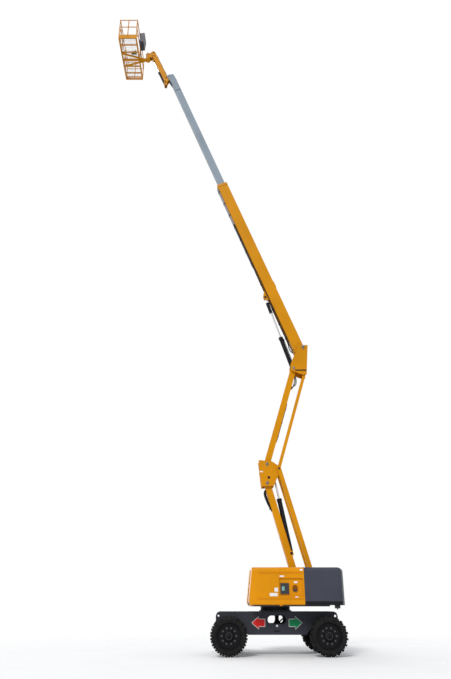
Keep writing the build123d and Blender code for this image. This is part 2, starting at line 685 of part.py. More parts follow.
def barrel(radius, length, foot_radius, foot_half_y, foot_bore, rod_radius, rod_space):
    """A cylinder barrel along x with its foot eye at the origin, a gland and a bore for the rod."""
    shape = rod_x(0, 0, radius, foot_radius * 0.5, length)
    shape += rod_x(0, 0, radius + GLAND_RISE, length - GLAND_LENGTH, length)
    shape += rod_y((0, 0), foot_radius, -foot_half_y, foot_half_y)
    shape -= rod_y((0, 0), foot_bore + PIN_CLEAR, -foot_half_y, foot_half_y)
    return shape - rod_x(0, 0, rod_radius + PIN_CLEAR, length - rod_space, length)


def rod(radius, start, length, eye_radius, eye_half_y):
    """A piston rod along x that ends in a round eye."""
    shape = rod_x(0, 0, radius, start, length - eye_radius * 0.7)
    return shape + rod_y((length, 0), eye_radius, -eye_half_y, eye_half_y)


def riser_barrel():
    tilt = riser_cylinder_axis()[1]
    rod_space = RISER_BARREL_LENGTH - 2 * RISER_BARREL_RADIUS
    shape = barrel(RISER_BARREL_RADIUS, RISER_BARREL_LENGTH, CYL_EYE_RADIUS, CYL_EYE_HALF_Y,
                   FOOT_PIN_RADIUS, RISER_ROD_RADIUS, rod_space)
    return on_arm(RISER_FOOT, LOWER_ANGLE + tilt, shape)


def riser_rod():
    length, tilt = riser_cylinder_axis()
    inside = RISER_BARREL_LENGTH / 2
    shape = rod(RISER_ROD_RADIUS, RISER_BARREL_LENGTH - inside, length, CYL_EYE_RADIUS, CYL_EYE_HALF_Y)
    return on_arm(RISER_FOOT, LOWER_ANGLE + tilt, shape)


def lower_tie():
    bars = tie_bars(RISER_LENGTH, LOWER_TIE_Y, LOWER_TIE_THICK, LOWER_TIE_DEPTH, TIE_PIN_RADIUS)
    return on_arm(LOWER_TIE_BASE, LOWER_ANGLE, bars)


def upper_tie():
    bars = tie_bars(RISER_LENGTH, UPPER_TIE_Y, UPPER_TIE_THICK, UPPER_TIE_DEPTH, TIE_PIN_RADIUS)
    return on_arm(KNEE_TIE, UPPER_ANGLE, bars)


def knee():
    """Two plates on three pins, with a front web and the lever of the riser cylinder."""
    low_x, low_z = KNEE_LOW
    high_x, high_z = KNEE_HIGH
    tie_x, tie_z = KNEE_TIE
    lever_x, lever_z = RISER_EYE
    top_front = (high_x + 275, high_z + 123)
    low_front = (low_x + 187, low_z - 113)
    outline = [
        top_front, low_front, (low_x - 205, low_z - 98), (tie_x - 68, tie_z - 10),
        (tie_x - 45, tie_z + 62), (high_x - 160, high_z + 80),
    ]
    shape = pair(plate(outline, PLATE_Y, PLATE_OUTER))
    inner = PLATE_Y
    shape += rod_y(KNEE_LOW, PIN_RADIUS, -PLATE_OUTER, PLATE_OUTER)
    shape += rod_y(KNEE_HIGH, PIN_RADIUS, -PLATE_OUTER, PLATE_OUTER)
    tie_end = LOWER_TIE_Y + LOWER_TIE_THICK + HUB_TO_PLATE
    shape += rod_y(KNEE_TIE, TIE_PIN_RADIUS, -tie_end, tie_end)
    web = [shift(top_front, (-30, -40)), shift(low_front, (-18, 20)), shift(low_front, (-38, 20)),
           shift(top_front, (-50, -40))]
    shape += plate(web, -inner, inner)
    cheek_y = CYL_EYE_HALF_Y + CHEEK_GAP
    cheek = [(lever_x - CHEEK_RADIUS, lever_z - 40), (lever_x + CHEEK_RADIUS, lever_z - 40),
             (lever_x + CHEEK_RADIUS + 40, lever_z + 120), (lever_x - 30, lever_z + 120)]
    shape += pair(plate(cheek, cheek_y, cheek_y + CHEEK_THICK))
    beam = [(lever_x - 30, lever_z + 75), (lever_x + CHEEK_RADIUS + 30, lever_z + 75),
            (lever_x + CHEEK_RADIUS + 40, lever_z + 120), (lever_x - 30, lever_z + 120)]
    return shape + plate(beam, -inner, inner)


def upper_riser():
    """Hollow box arm whose top end is a fork around the foot of the boom cylinder."""
    depth = UPPER_HALF_DEPTH
    half_y = RISER_HALF_Y
    wall = RISER_WALL
    hub_y = PLATE_Y - HUB_TO_PLATE
    arm = block(0, RISER_LENGTH, -half_y, half_y, -depth, depth)
    arm -= block(RISER_HUB + wall, RISER_LENGTH - FORK_LENGTH - wall, -half_y + wall, half_y - wall,
                 -depth + wall, depth - wall)
    arm += rod_y((0, 0), RISER_HUB, -hub_y, hub_y)
    arm += rod_y((RISER_LENGTH, 0), RISER_HUB, -hub_y, hub_y)
    arm -= block(RISER_LENGTH - FORK_LENGTH, RISER_LENGTH + 2 * RISER_HUB, -FORK_HALF_Y, FORK_HALF_Y,
                 -2 * depth, depth - FORK_BACK)
    for x in (0, RISER_LENGTH):
        arm -= rod_y((x, 0), PIN_RADIUS + PIN_CLEAR, -hub_y, hub_y)
    return on_arm(KNEE_HIGH, UPPER_ANGLE, arm)


def top_upright():
    """Two plates that carry the boom, on the pins of the upper riser and its tie."""
    top_x, top_z = TOP_PIN
    tie_x, tie_z = TOP_TIE
    pin_x, pin_z = BOOM_PIN
    rear_low = (tie_x - 60, tie_z - 75)
    rear_high = (pin_x - 170, pin_z + 65)
    outline = [
        (pin_x + 170, pin_z + 65), rear_high, rear_low, (tie_x + 80, tie_z - 90),
        (top_x + 60, top_z - 105), (top_x + 110, top_z - 20), (top_x + 105, top_z + 140),
    ]
    shape = pair(plate(outline, PLATE_Y, PLATE_OUTER))
    shape += rod_y(TOP_PIN, PIN_RADIUS, -PLATE_OUTER, PLATE_OUTER)
    shape += rod_y(TOP_TIE, TIE_PIN_RADIUS, -PLATE_OUTER, PLATE_OUTER)
    shape += rod_y(BOOM_PIN, BOOM_PIN_RADIUS, -PLATE_OUTER, PLATE_OUTER)
    low = shift(rear_low, (4, 190))
    high = shift(rear_high, (16, -140))
    web = [low, shift(low, (22, 0)), shift(high, (22, 0)), high]
    return shape + plate(web, -PLATE_Y, PLATE_Y)


BOOM_TOP = BOOM_ABOVE_PIN
BOOM_UNDER = BOOM_ABOVE_PIN - BOOM_DEPTH
BOOM_MIDDLE = (BOOM_TOP + BOOM_UNDER) / 2


def main_boom():
    """Hollow box boom with a pivot hub, a front wear collar and the bracket of its cylinder."""
    half_y = BOOM_HALF_Y
    wall = BOOM_WALL
    arm = block(BOOM_BACK, BOOM_FRONT, -half_y, half_y, BOOM_UNDER, BOOM_TOP)
    arm -= block(BOOM_SOLID_END, BOOM_FRONT - BOOM_COLLAR, -half_y + wall, half_y - wall,
                 BOOM_UNDER + wall, BOOM_TOP - wall)
    hole_y = EXT_HALF_Y + SLIDE_CLEAR
    hole_z = EXT_DEPTH / 2 + SLIDE_CLEAR
    arm -= block(BOOM_FRONT - BOOM_COLLAR, BOOM_FRONT, -hole_y, hole_y, BOOM_MIDDLE - hole_z, BOOM_MIDDLE + hole_z)
    hub_y = PLATE_Y - HUB_TO_PLATE
    arm += rod_y((0, 0), BOOM_HUB, -hub_y, hub_y)
    arm -= rod_y((0, 0), BOOM_PIN_RADIUS + PIN_CLEAR, -hub_y, hub_y)
    eye_x, eye_z = BOOM_CYL_EYE
    cheek_y = CYL_EYE_HALF_Y + CHEEK_GAP
    cheek = [(eye_x - 190, BOOM_UNDER), (eye_x - 60, eye_z - 62), (eye_x + 60, eye_z - 62),
             (eye_x + 330, BOOM_UNDER)]
    arm += pair(plate(cheek, cheek_y, cheek_y + CHEEK_THICK))
    return on_arm(BOOM_PIN, BOOM_ANGLE, arm)


def hose_tray():
    """Channel under the boom that carries its hoses."""
    under = BOOM_UNDER
    wall = TRAY_WALL
    tray = block(TRAY_BACK, TRAY_FRONT, -TRAY_HALF_Y, TRAY_HALF_Y, under - TRAY_DEPTH, under)
    tray -= block(TRAY_BACK, TRAY_FRONT, -TRAY_HALF_Y + wall, TRAY_HALF_Y - wall,
                  under - TRAY_DEPTH + wall, under - wall)
    return on_arm(BOOM_PIN, BOOM_ANGLE, tray)


def boom_barrel():
    angle = span(TOP_PIN, BOOM_EYE)[1]
    rod_space = BOOM_BARREL_LENGTH - 2 * BOOM_BARREL_HUB
    shape = barrel(BOOM_BARREL_RADIUS, BOOM_BARREL_LENGTH, BOOM_BARREL_HUB, BOOM_BARREL_HALF_Y,
                   PIN_RADIUS, BOOM_ROD_RADIUS, rod_space)
    return on_arm(TOP_PIN, angle, shape)


def boom_rod():
    length, angle = span(TOP_PIN, BOOM_EYE)
    start = length - BOOM_ROD_SLEEVE - BOOM_ROD_INSIDE - BOOM_ROD_RADIUS * 6
    shape = rod(BOOM_ROD_RADIUS, start, length, CYL_EYE_RADIUS, CYL_EYE_HALF_Y)
    shape += rod_x(0, 0, BOOM_ROD_SLEEVE_RADIUS, length - BOOM_ROD_SLEEVE, length - BOOM_ROD_NECK)
    shape += block(length - BOOM_ROD_NECK, length, -CYL_EYE_HALF_Y, CYL_EYE_HALF_Y,
                   -BOOM_ROD_RADIUS, BOOM_ROD_RADIUS)
    return on_arm(TOP_PIN, angle, shape)


def extension():
    """Hollow inner boom with a wear pad around its rear end."""
    wall = EXT_WALL
    low = BOOM_MIDDLE - EXT_DEPTH / 2
    high = BOOM_MIDDLE + EXT_DEPTH / 2
    arm = block(EXT_BACK, EXT_FRONT, -EXT_HALF_Y, EXT_HALF_Y, low, high)
    pad_y = BOOM_HALF_Y - BOOM_WALL - SLIDE_CLEAR
    pad_low = BOOM_UNDER + BOOM_WALL + SLIDE_CLEAR
    pad_high = BOOM_TOP - BOOM_WALL - SLIDE_CLEAR
    arm += block(EXT_BACK, EXT_BACK + EXT_PAD, -pad_y, pad_y, pad_low, pad_high)
    arm -= block(EXT_BACK, EXT_FRONT, -EXT_HALF_Y + wall, EXT_HALF_Y - wall, low + wall, high - wall)
    return on_arm(BOOM_PIN, BOOM_ANGLE, arm)


def boom_head():
    """End cap and the two plates at the tip of the extension, with the jib's pivot pin."""
    pin_x, pin_z = HEAD_PIN
    low = BOOM_MIDDLE - EXT_DEPTH / 2
    high = BOOM_MIDDLE + EXT_DEPTH / 2
    outline = [
        (HEAD_BACK, low + 15), (EXT_FRONT, low + 5), (pin_x - 90, pin_z - 60), (pin_x, pin_z - HEAD_ROUND),
        (pin_x + 65, pin_z - 60), (pin_x + HEAD_ROUND, pin_z + 10), (pin_x + 55, high - 40),
        (EXT_FRONT + 200, high - 5), (HEAD_BACK, high - 15),
    ]
    outer = EXT_HALF_Y + HEAD_PLATE
    shape = pair(plate(outline, EXT_HALF_Y, outer))
    shape += block(EXT_FRONT, EXT_FRONT + HEAD_PLATE, -EXT_HALF_Y, EXT_HALF_Y, low + 20, high - 20)
    shape += rod_y(HEAD_PIN, HEAD_PIN_RADIUS, -outer, outer)
    return on_arm(BOOM_PIN, BOOM_ANGLE, shape)


JIB_PLATE_OUTER = JIB_PLATE_Y + JIB_PLATE_THICK
LINK_PIN_END = JIB_LINK_Y + JIB_LINK_THICK + 4


def jib_base():
    """Two level plates at the boom head that carry the jib, its link and its cylinder."""
    x, z = JIB_BASE
    head_x, head_z = HEAD
    foot_x, foot_z = JIB_FOOT
    outline = [
        (head_x - 62, head_z + 40), (head_x + 10, head_z + 75), (x + 40, z + 75), (x + 78, z + 10),
        (x + 72, z + JIB_LINK_OFFSET[1] - 20), (foot_x + 50, foot_z - 48), (foot_x - 55, foot_z - 48),
        (foot_x - 85, foot_z + 120), (head_x - 62, head_z - 45),
    ]
    shape = pair(plate(outline, JIB_PLATE_Y, JIB_PLATE_OUTER))
    shape -= rod_y(HEAD, HEAD_PIN_RADIUS + PIN_CLEAR, -JIB_PLATE_OUTER, JIB_PLATE_OUTER)
    shape += rod_y(JIB_BASE, JIB_PIN_RADIUS, -JIB_PLATE_OUTER, JIB_PLATE_OUTER)
    shape += rod_y(JIB_FOOT, JIB_CYL_FOOT_PIN, -JIB_PLATE_OUTER, JIB_PLATE_OUTER)
    shape += pair(rod_y(LINK_BASE, JIB_LINK_PIN, JIB_PLATE_Y, LINK_PIN_END))
    web_x = foot_x - 80
    shape += block(web_x, web_x + 16, -JIB_PLATE_Y, JIB_PLATE_Y, foot_z + 30, foot_z + 115)
    return shape


def jib():
    """Hollow box jib with round ends and the bracket of its cylinder."""
    depth = JIB_HALF_DEPTH
    half_y = JIB_HALF_Y
    wall = JIB_WALL
    arm = block(0, JIB_LENGTH, -half_y, half_y, -depth, depth)
    for x in (0, JIB_LENGTH):
        arm += rod_y((x, 0), depth, -half_y, half_y)
    arm -= block(depth, JIB_LENGTH - depth, -half_y + wall, half_y - wall, -depth + wall, depth - wall)
    eye_x, eye_z = JIB_CYL_EYE
    cheek_y = CYL_EYE_HALF_Y + CHEEK_GAP
    cheek = [(eye_x - 75, -depth), (eye_x - 35, eye_z - 32), (eye_x + 35, eye_z - 32), (eye_x + 75, -depth)]
    arm += pair(plate(cheek, cheek_y, cheek_y + 0.8 * CHEEK_THICK))
    for x in (0, JIB_LENGTH):
        arm -= rod_y((x, 0), JIB_PIN_RADIUS + PIN_CLEAR, -half_y, half_y)
    return on_arm(JIB_BASE, JIB_ANGLE, arm)


def jib_link():
    """The two bars that keep the basket level."""
    y0 = JIB_LINK_Y
    y1 = y0 + JIB_LINK_THICK
    bar = block(0, JIB_LENGTH, y0, y1, -JIB_LINK_DEPTH / 2, JIB_LINK_DEPTH / 2)
    for x in (0, JIB_LENGTH):
        bar += rod_y((x, 0), JIB_LINK_EYE, y0, y1)
    for x in (0, JIB_LENGTH):
        bar -= rod_y((x, 0), JIB_LINK_PIN + PIN_CLEAR, y0, y1)
    return on_arm(LINK_BASE, JIB_ANGLE, pair(bar))


def jib_barrel():
    angle = span(JIB_FOOT, JIB_EYE)[1]
    rod_space = JIB_BARREL_LENGTH - JIB_CYL_EYE_RADIUS - GLAND_RISE
    shape = barrel(JIB_BARREL_RADIUS, JIB_BARREL_LENGTH, JIB_CYL_EYE_RADIUS, CYL_EYE_HALF_Y,
                   JIB_CYL_FOOT_PIN, JIB_ROD_RADIUS, rod_space)
    return on_arm(JIB_FOOT, angle, shape)


def jib_rod():
    length, angle = span(JIB_FOOT, JIB_EYE)
    start = JIB_BARREL_LENGTH - 1.5 * JIB_BARREL_RADIUS
    shape = rod(JIB_ROD_RADIUS, start, length, JIB_CYL_EYE_RADIUS, CYL_EYE_HALF_Y)
    return on_arm(JIB_FOOT, angle, shape)


HOUSING_BOTTOM = FRAME_BOTTOM + PIN_CLEAR
HOUSING_TOP = HOUSING_BOTTOM + ROTATOR_HEIGHT


def platform_support():
    """Two plates on the jib's end that hold the housing of the basket's rotator."""
    x, z = JIB_TOP
    link_x, link_z = LINK_TOP
    outline = [
        (x - 66, z + 40), (x + 30, z + 82), (ROTATOR_X - ROTATOR_RADIUS, HOUSING_TOP),
        (ROTATOR_X, HOUSING_TOP), (ROTATOR_X, HOUSING_BOTTOM + 20),
        (link_x + 40, link_z - 52), (link_x - 45, link_z - 40), (x - 70, z - 60),
    ]
    shape = pair(plate(outline, JIB_PLATE_Y, JIB_PLATE_OUTER))
    shape += rod_y(JIB_TOP, JIB_PIN_RADIUS, -JIB_PLATE_OUTER, JIB_PLATE_OUTER)
    shape += pair(rod_y(LINK_TOP, JIB_LINK_PIN, JIB_PLATE_Y, LINK_PIN_END))
    shape += rod_z(ROTATOR_X, 0, ROTATOR_RADIUS, HOUSING_BOTTOM, HOUSING_TOP)
    return shape - rod_z(ROTATOR_X, 0, ROTATOR_SHAFT + PIN_CLEAR, HOUSING_BOTTOM, HOUSING_TOP)


def rotator():
    """Shaft and cap that turn in the housing."""
    shaft = rod_z(ROTATOR_X, 0, ROTATOR_SHAFT, FRAME_BOTTOM, HOUSING_TOP + 4)
    cap_bottom = HOUSING_TOP + 2 * PIN_CLEAR
    return shaft + rod_z(ROTATOR_X, 0, ROTATOR_RADIUS * 0.85, cap_bottom, cap_bottom + 30)


def floor_arm(y):
    """A bar under the floor from the rotator to the outer edge."""
    length, angle = span((ROTATOR_X, 0), (BASKET_OUTER - FLOOR_FRAME / 2, y))
    bar = block(0, length, -ARM_WIDTH / 2, ARM_WIDTH / 2, ARM_BOTTOM, FRAME_BOTTOM)
    return Pos(ROTATOR_X, 0, 0) * Rot(0, 0, angle) * bar


def platform_frame():
    shape = rod_z(ROTATOR_X, 0, ROTATOR_RADIUS * 1.3, ARM_BOTTOM, FRAME_BOTTOM)
    for y in (-ARM_SPREAD, 0, ARM_SPREAD):
        shape += floor_arm(y)
    return shape


def basket_floor():
    """Rectangular floor frame with cross bars."""
    half = BASKET_LENGTH / 2
    top = FLOOR_Z - MESH_THICK
    frame = block(BASKET_INNER, BASKET_OUTER, -half, half, FRAME_BOTTOM, top)
    frame -= block(BASKET_INNER + FLOOR_FRAME, BASKET_OUTER - FLOOR_FRAME, -half + FLOOR_FRAME,
                   half - FLOOR_FRAME, FRAME_BOTTOM, top)
    for step in (-2, -1, 0, 1, 2):
        y = step * BASKET_LENGTH / 6
        frame += block(BASKET_INNER, BASKET_OUTER, y - FLOOR_BAR / 2, y + FLOOR_BAR / 2, FRAME_BOTTOM, top)
    return frame


def floor_mesh():
    half = BASKET_LENGTH / 2
    edge = 2 * RAIL_RADIUS + RAIL_GAP
    return block(BASKET_INNER + edge, BASKET_OUTER - edge, -half + edge, half - edge, FLOOR_Z - MESH_THICK, FLOOR_Z)


RAIL_BOTTOM = FLOOR_Z - MESH_THICK
RAIL_INSET = RAIL_RADIUS
LEVELS = (FLOOR_Z + MID_RAIL_HEIGHT, FLOOR_Z + RAIL_HEIGHT - BAR_RADIUS)


def side_rail(x, y0, y1):
    """Posts, two rails and a toe board along a long side of the basket."""
    top = LEVELS[-1]
    reach = RAIL_RADIUS - BAR_SET
    shape = rod_z(x, y0, RAIL_RADIUS, RAIL_BOTTOM, top)
    for y in (y0 + (y1 - y0) / 2, y1):
        shape += rod_z(x, y, RAIL_RADIUS, RAIL_BOTTOM, top)
    for level in LEVELS:
        shape += rod_y((x, level), BAR_RADIUS, y0 - reach, y1 + reach)
    return shape + block(x - TOE_THICK / 2, x + TOE_THICK / 2, y0, y1, RAIL_BOTTOM, FLOOR_Z + TOE_HEIGHT)


def end_rail(y):
    """Two rails and a toe board across an end of the basket, between the corner posts."""
    reach = 2 * RAIL_RADIUS + RAIL_GAP
    x0 = BASKET_INNER + reach
    x1 = BASKET_OUTER - reach
    middle = (x0 + x1) / 2
    shape = rod_z(middle, y, RAIL_RADIUS, RAIL_BOTTOM, LEVELS[-1])
    for level in LEVELS:
        shape += rod_x(y, level, BAR_RADIUS, x0, x1)
    return shape + block(x0, x1, y - TOE_THICK / 2, y + TOE_THICK / 2, RAIL_BOTTOM, FLOOR_Z + TOE_HEIGHT)


def rail_boom_side():
    """The rail beside the boom, with two anchor eyes for lanyards inside it."""
    half = BASKET_LENGTH / 2 - RAIL_INSET
    x = BASKET_INNER + RAIL_INSET
    shape = side_rail(x, -half, half)
    eye_z = FLOOR_Z + ANCHOR_Z
    lug = block(x, x + ANCHOR_REACH, ANCHOR_Y - ANCHOR_THICK / 2, ANCHOR_Y + ANCHOR_THICK / 2,
                FLOOR_Z + MID_RAIL_HEIGHT, eye_z + ANCHOR_RADIUS)
    lug += rod_y((x + ANCHOR_REACH, eye_z), ANCHOR_RADIUS, ANCHOR_Y - ANCHOR_THICK / 2, ANCHOR_Y + ANCHOR_THICK / 2)
    lug -= rod_y((x + ANCHOR_REACH, eye_z), ANCHOR_BORE, ANCHOR_Y - ANCHOR_THICK / 2, ANCHOR_Y + ANCHOR_THICK / 2)
    return shape + pair(lug)


GATE_HALF = GATE_WIDTH / 2
OUTER_RAIL_X = BASKET_OUTER - RAIL_INSET


def gate():
    """Gate between the two outer rails, turning on the post at its right end."""
    x = OUTER_RAIL_X
    y0 = -GATE_HALF
    y1 = GATE_HALF - GATE_GAP
    low = FLOOR_Z + TOE_HEIGHT + GATE_GAP
    top = LEVELS[-1]
    shape = rod_z(x, y0, GATE_HINGE, low, top - 2 * RAIL_RADIUS)
    shape -= rod_z(x, y0, GATE_HINGE / 2 + PIN_CLEAR, low, top)
    shape += rod_z(x, y1 - RAIL_RADIUS, RAIL_RADIUS, low, top)
    for level in LEVELS:
        shape += rod_y((x, level - (2.5 * RAIL_RADIUS if level == top else 0)), RAIL_RADIUS * 0.8,
                       y0 + 0.8 * GATE_HINGE, y1 - RAIL_RADIUS)
    return shape


def rail_outer(side):
    """One of the two outer rails beside the gate; the right one carries the gate's hinge pin."""
    half = BASKET_LENGTH / 2 - RAIL_INSET
    inner = GATE_HALF + 2 * RAIL_RADIUS + GATE_GAP
    if side > 0:
        return side_rail(OUTER_RAIL_X, inner, half)
    shape = side_rail(OUTER_RAIL_X, -half, -inner)
    low = FLOOR_Z + TOE_HEIGHT
    for z in (low, LEVELS[-1] - 2 * RAIL_RADIUS + YOKE_GAP):
        shape += block(OUTER_RAIL_X - RAIL_RADIUS / 2, OUTER_RAIL_X + RAIL_RADIUS / 2, -inner, -GATE_HALF,
                       z, z + GATE_GAP - YOKE_GAP)
    return shape + rod_z(OUTER_RAIL_X, -GATE_HALF, GATE_HINGE / 2, low, LEVELS[-1] - RAIL_RADIUS)


def toe_sill():
    """Toe board under the gate."""
    inner = GATE_HALF + RAIL_RADIUS + GATE_GAP - RAIL_GAP
    return block(OUTER_RAIL_X - TOE_THICK / 2, OUTER_RAIL_X + TOE_THICK / 2, -inner, inner,
                 RAIL_BOTTOM, FLOOR_Z + TOE_HEIGHT - GATE_GAP)


def console():
    """Control console outside the boom-side rail."""
    top = FLOOR_Z + RAIL_HEIGHT
    x1 = BASKET_INNER - RAIL_GAP
    x0 = BASKET_INNER - CONSOLE_DEPTH
    outline = [(x0 + 40, top - CONSOLE_HEIGHT), (x1, top - CONSOLE_HEIGHT), (x1, top),
               (x0 + 30, top + 40), (x0, top - 40)]
    return plate(outline, CONSOLE_Y0, CONSOLE_Y1)


def foot_pedal():
    depth, width, height = PEDAL_SIZE
    x0 = BASKET_INNER + PEDAL_BACK
    outline = [(x0, FLOOR_Z), (x0 + depth, FLOOR_Z), (x0 + depth, FLOOR_Z + height * 0.35), (x0, FLOOR_Z + height)]
    return plate(outline, PEDAL_Y - width / 2, PEDAL_Y + width / 2)


CORNERS = {"fl": (1, 1), "fr": (1, -1), "rl": (-1, 1), "rr": (-1, -1)}


def build_parts():
    """Every sub-part by name."""
    half = BASKET_LENGTH / 2 - RAIL_INSET
    parts = {
        "chassis_frame": chassis_frame(),
        "front_axle": axle(1),
        "rear_axle": axle(-1),
        "tie_rod_front": tie_rod(1),
        "tie_rod_rear": tie_rod(-1),
        "slew_ring": slew_ring(),
        "turret_frame": turret_frame(),
        "counterweight": counterweight(),
        "near_hood": recessed_hood(),
        "far_hood": mirror(plain_hood(), about=Plane.XZ),
        "control_box": control_box(),
        "engine_block": engine_block(),
        "lower_riser": lower_riser(),
        "lower_tie": lower_tie(),
        "riser_barrel": riser_barrel(),
        "riser_rod": riser_rod(),
        "knee": knee(),
        "upper_riser": upper_riser(),
        "upper_tie": upper_tie(),
        "top_upright": top_upright(),
        "main_boom": main_boom(),
        "hose_tray": hose_tray(),
        "boom_barrel": boom_barrel(),
        "boom_rod": boom_rod(),
        "extension": extension(),
        "boom_head": boom_head(),
        "jib_base": jib_base(),
        "jib": jib(),
        "jib_link": jib_link(),
        "jib_barrel": jib_barrel(),
        "jib_rod": jib_rod(),
        "platform_support": platform_support(),
        "rotator": rotator(),
        "platform_frame": platform_frame(),
        "basket_floor": basket_floor(),
        "floor_mesh": floor_mesh(),
        "rail_near_end": end_rail(half),
        "rail_far_end": end_rail(-half),
        "rail_boom_side": rail_boom_side(),
        "rail_outer_a": rail_outer(1),
        "rail_outer_b": rail_outer(-1),
        "toe_sill": toe_sill(),
        "gate": gate(),
        "console": console(),
        "foot_pedal": foot_pedal(),
    }
    for corner, (sign, side) in CORNERS.items():
        parts["knuckle_" + corner] = knuckle(sign, side)
        parts["tyre_" + corner] = tyre(sign, side)
        parts["rim_" + corner] = rim(sign, side)
    return parts


def main():
    os.makedirs("parts", exist_ok=True)
    for name, shape in build_parts().items():
        export_step(shape, "parts/" + name + ".step")


if __name__ == "__main__":
    main()
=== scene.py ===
import json
from math import cos, pi, radians, sin

import bmesh
import bpy
from mathutils import Matrix, Vector


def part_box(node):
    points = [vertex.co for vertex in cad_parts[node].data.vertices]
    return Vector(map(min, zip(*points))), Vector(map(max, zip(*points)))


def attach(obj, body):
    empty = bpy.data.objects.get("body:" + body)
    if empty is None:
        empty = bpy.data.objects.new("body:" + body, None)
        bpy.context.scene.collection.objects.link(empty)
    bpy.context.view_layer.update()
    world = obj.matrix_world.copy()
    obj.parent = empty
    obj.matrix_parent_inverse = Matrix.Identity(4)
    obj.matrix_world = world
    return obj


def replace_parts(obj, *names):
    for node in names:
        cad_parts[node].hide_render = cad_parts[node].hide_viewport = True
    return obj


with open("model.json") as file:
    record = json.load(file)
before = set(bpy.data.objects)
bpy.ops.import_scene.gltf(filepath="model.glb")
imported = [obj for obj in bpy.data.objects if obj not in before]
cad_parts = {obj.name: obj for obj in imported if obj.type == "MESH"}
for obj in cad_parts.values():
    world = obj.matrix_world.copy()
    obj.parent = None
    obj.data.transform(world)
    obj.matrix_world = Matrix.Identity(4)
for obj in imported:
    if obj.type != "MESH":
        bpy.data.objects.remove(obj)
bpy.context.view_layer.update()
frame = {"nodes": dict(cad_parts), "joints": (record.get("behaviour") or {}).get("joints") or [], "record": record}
nodes = frame["nodes"]
joints = {joint["name"]: joint for joint in frame["joints"]}
scene = bpy.context.scene
SIDES = (-1, 1)
OUT = (0, 1, 0)
UP = (0, 0, 1)
HERE = Matrix.Identity(4)


# Materials

def feed(tree, node, inputs):
    """Sets each input of a node to a value, or links it to a socket."""
    for name, value in inputs.items():
        if isinstance(value, bpy.types.NodeSocket):
            tree.links.new(value, node.inputs[name])
        else:
            node.inputs[name].default_value = value


def add_node(tree, kind, inputs, operation=None):
    node = tree.nodes.new("ShaderNode" + kind)
    if operation:
        node.operation = operation
    feed(tree, node, inputs)
    return node


class Look:
    """A material in the making: its nodes, its shader and the object's own coordinates, in metres."""

    def __init__(self, name):
        self.material = bpy.data.materials.new(name)
        self.material.use_nodes = True
        self.tree = self.material.node_tree
        self.shader = self.tree.nodes["Principled BSDF"]
        self.coords = self.add("TexCoord", {}).outputs["Object"]

    def add(self, kind, inputs, operation=None):
        return add_node(self.tree, kind, inputs, operation)

    def noise(self, scale, detail=4, coords=None):
        values = {"Vector": coords or self.coords, "Scale": scale, "Detail": detail}
        return self.add("TexNoise", values).outputs["Fac"]

    def ramp(self, value, *stops):
        """A colour ramp from (place, colour) stops."""
        node = self.add("ValToRGB", {"Fac": value})
        points = node.color_ramp.elements
        while len(points) < len(stops):
            points.new(0.5)
        for point, (place, colour) in zip(points, stops):
            point.position = place
            point.color = colour
        return node.outputs["Color"]

    def span(self, value, low, high, source=(0, 1)):
        """Maps a source range of a value to the range from low to high."""
        values = {"Value": value, "From Min": source[0], "From Max": source[1], "To Min": low, "To Max": high}
        return self.add("MapRange", values).outputs["Result"]

    def mix(self, factor, first, second):
        node = self.tree.nodes.new("ShaderNodeMix")
        node.data_type = "RGBA"
        feed(self.tree, node, {"Factor": factor, "A": first, "B": second})
        return node.outputs["Result"]

    def bump(self, height, strength, distance):
        values = {"Height": height, "Strength": strength, "Distance": distance}
        return self.add("Bump", values).outputs["Normal"]

    def edges(self, radius):
        """Bright where the surface turns within a radius, which is where paint wears."""
        soft = self.add("Bevel", {"Radius": radius})
        soft.samples = 4
        plain = self.add("NewGeometry", {})
        normals = {0: soft.outputs["Normal"], 1: plain.outputs["Normal"]}
        alike = self.add("VectorMath", normals, "DOT_PRODUCT").outputs["Value"]
        return self.span(alike, 1, 0, (0.82, 0.99))

    def shade(self, colour, rough, extra):
        """Feeds the shader and gives the finished material."""
        feed(self.tree, self.shader, {"Base Color": colour, "Roughness": rough, **extra})
        return self.material


def shades(colour, *factors):
    """Darker or lighter versions of a colour, with full alpha."""
    return [(*(min(1, channel * factor) for channel in colour), 1) for factor in factors]


def paint(name, colour, rough, worn, wear=0.5, coat=0.04, grain=0.02):
    """Sprayed paint: drifting shade, rain streaks, orange peel and lighter worn edges."""
    look = Look(name)
    dark, mid, light, rain = shades(colour, 0.88, 1, 1.07, 0.78)
    broad = look.ramp(look.noise(0.9), (0.3, dark), (0.5, mid), (0.72, light))
    drawn = look.add("Mapping", {"Vector": look.coords, "Scale": (3, 3, 0.25)}).outputs["Vector"]
    streaks = look.span(look.noise(3, 6, drawn), 0, 0.35, (0.55, 0.85))
    chips = look.span(look.noise(26, 8), 0, wear, (0.42, 0.62))
    scratched = look.add("Math", {0: look.edges(0.007), 1: chips}, "MULTIPLY").outputs["Value"]
    base = look.mix(scratched, look.mix(streaks, broad, rain), (*worn, 1))
    peel = look.bump(look.noise(380, 2), grain, 0.002)
    gloss = {"Specular IOR Level": 0.1, "Coat Weight": coat, "Coat Roughness": 0.18, "Normal": peel}
    return look.shade(base, look.span(look.noise(7, 6), rough * 0.8, rough * 1.25), gloss)


def casting(name, colour):
    """Painted casting with a sandy skin."""
    look = Look(name)
    dark, mid, light, worn = shades(colour, 0.84, 1, 1.12, 1.7)
    broad = look.ramp(look.noise(1.4, 8), (0.3, dark), (0.52, mid), (0.75, light))
    base = look.mix(look.span(look.edges(0.012), 0, 0.45), broad, worn)
    sand = {"Specular IOR Level": 0.24, "Normal": look.bump(look.noise(150, 5), 0.12, 0.003)}
    return look.shade(base, look.span(look.noise(14, 6), 0.42, 0.62), sand)


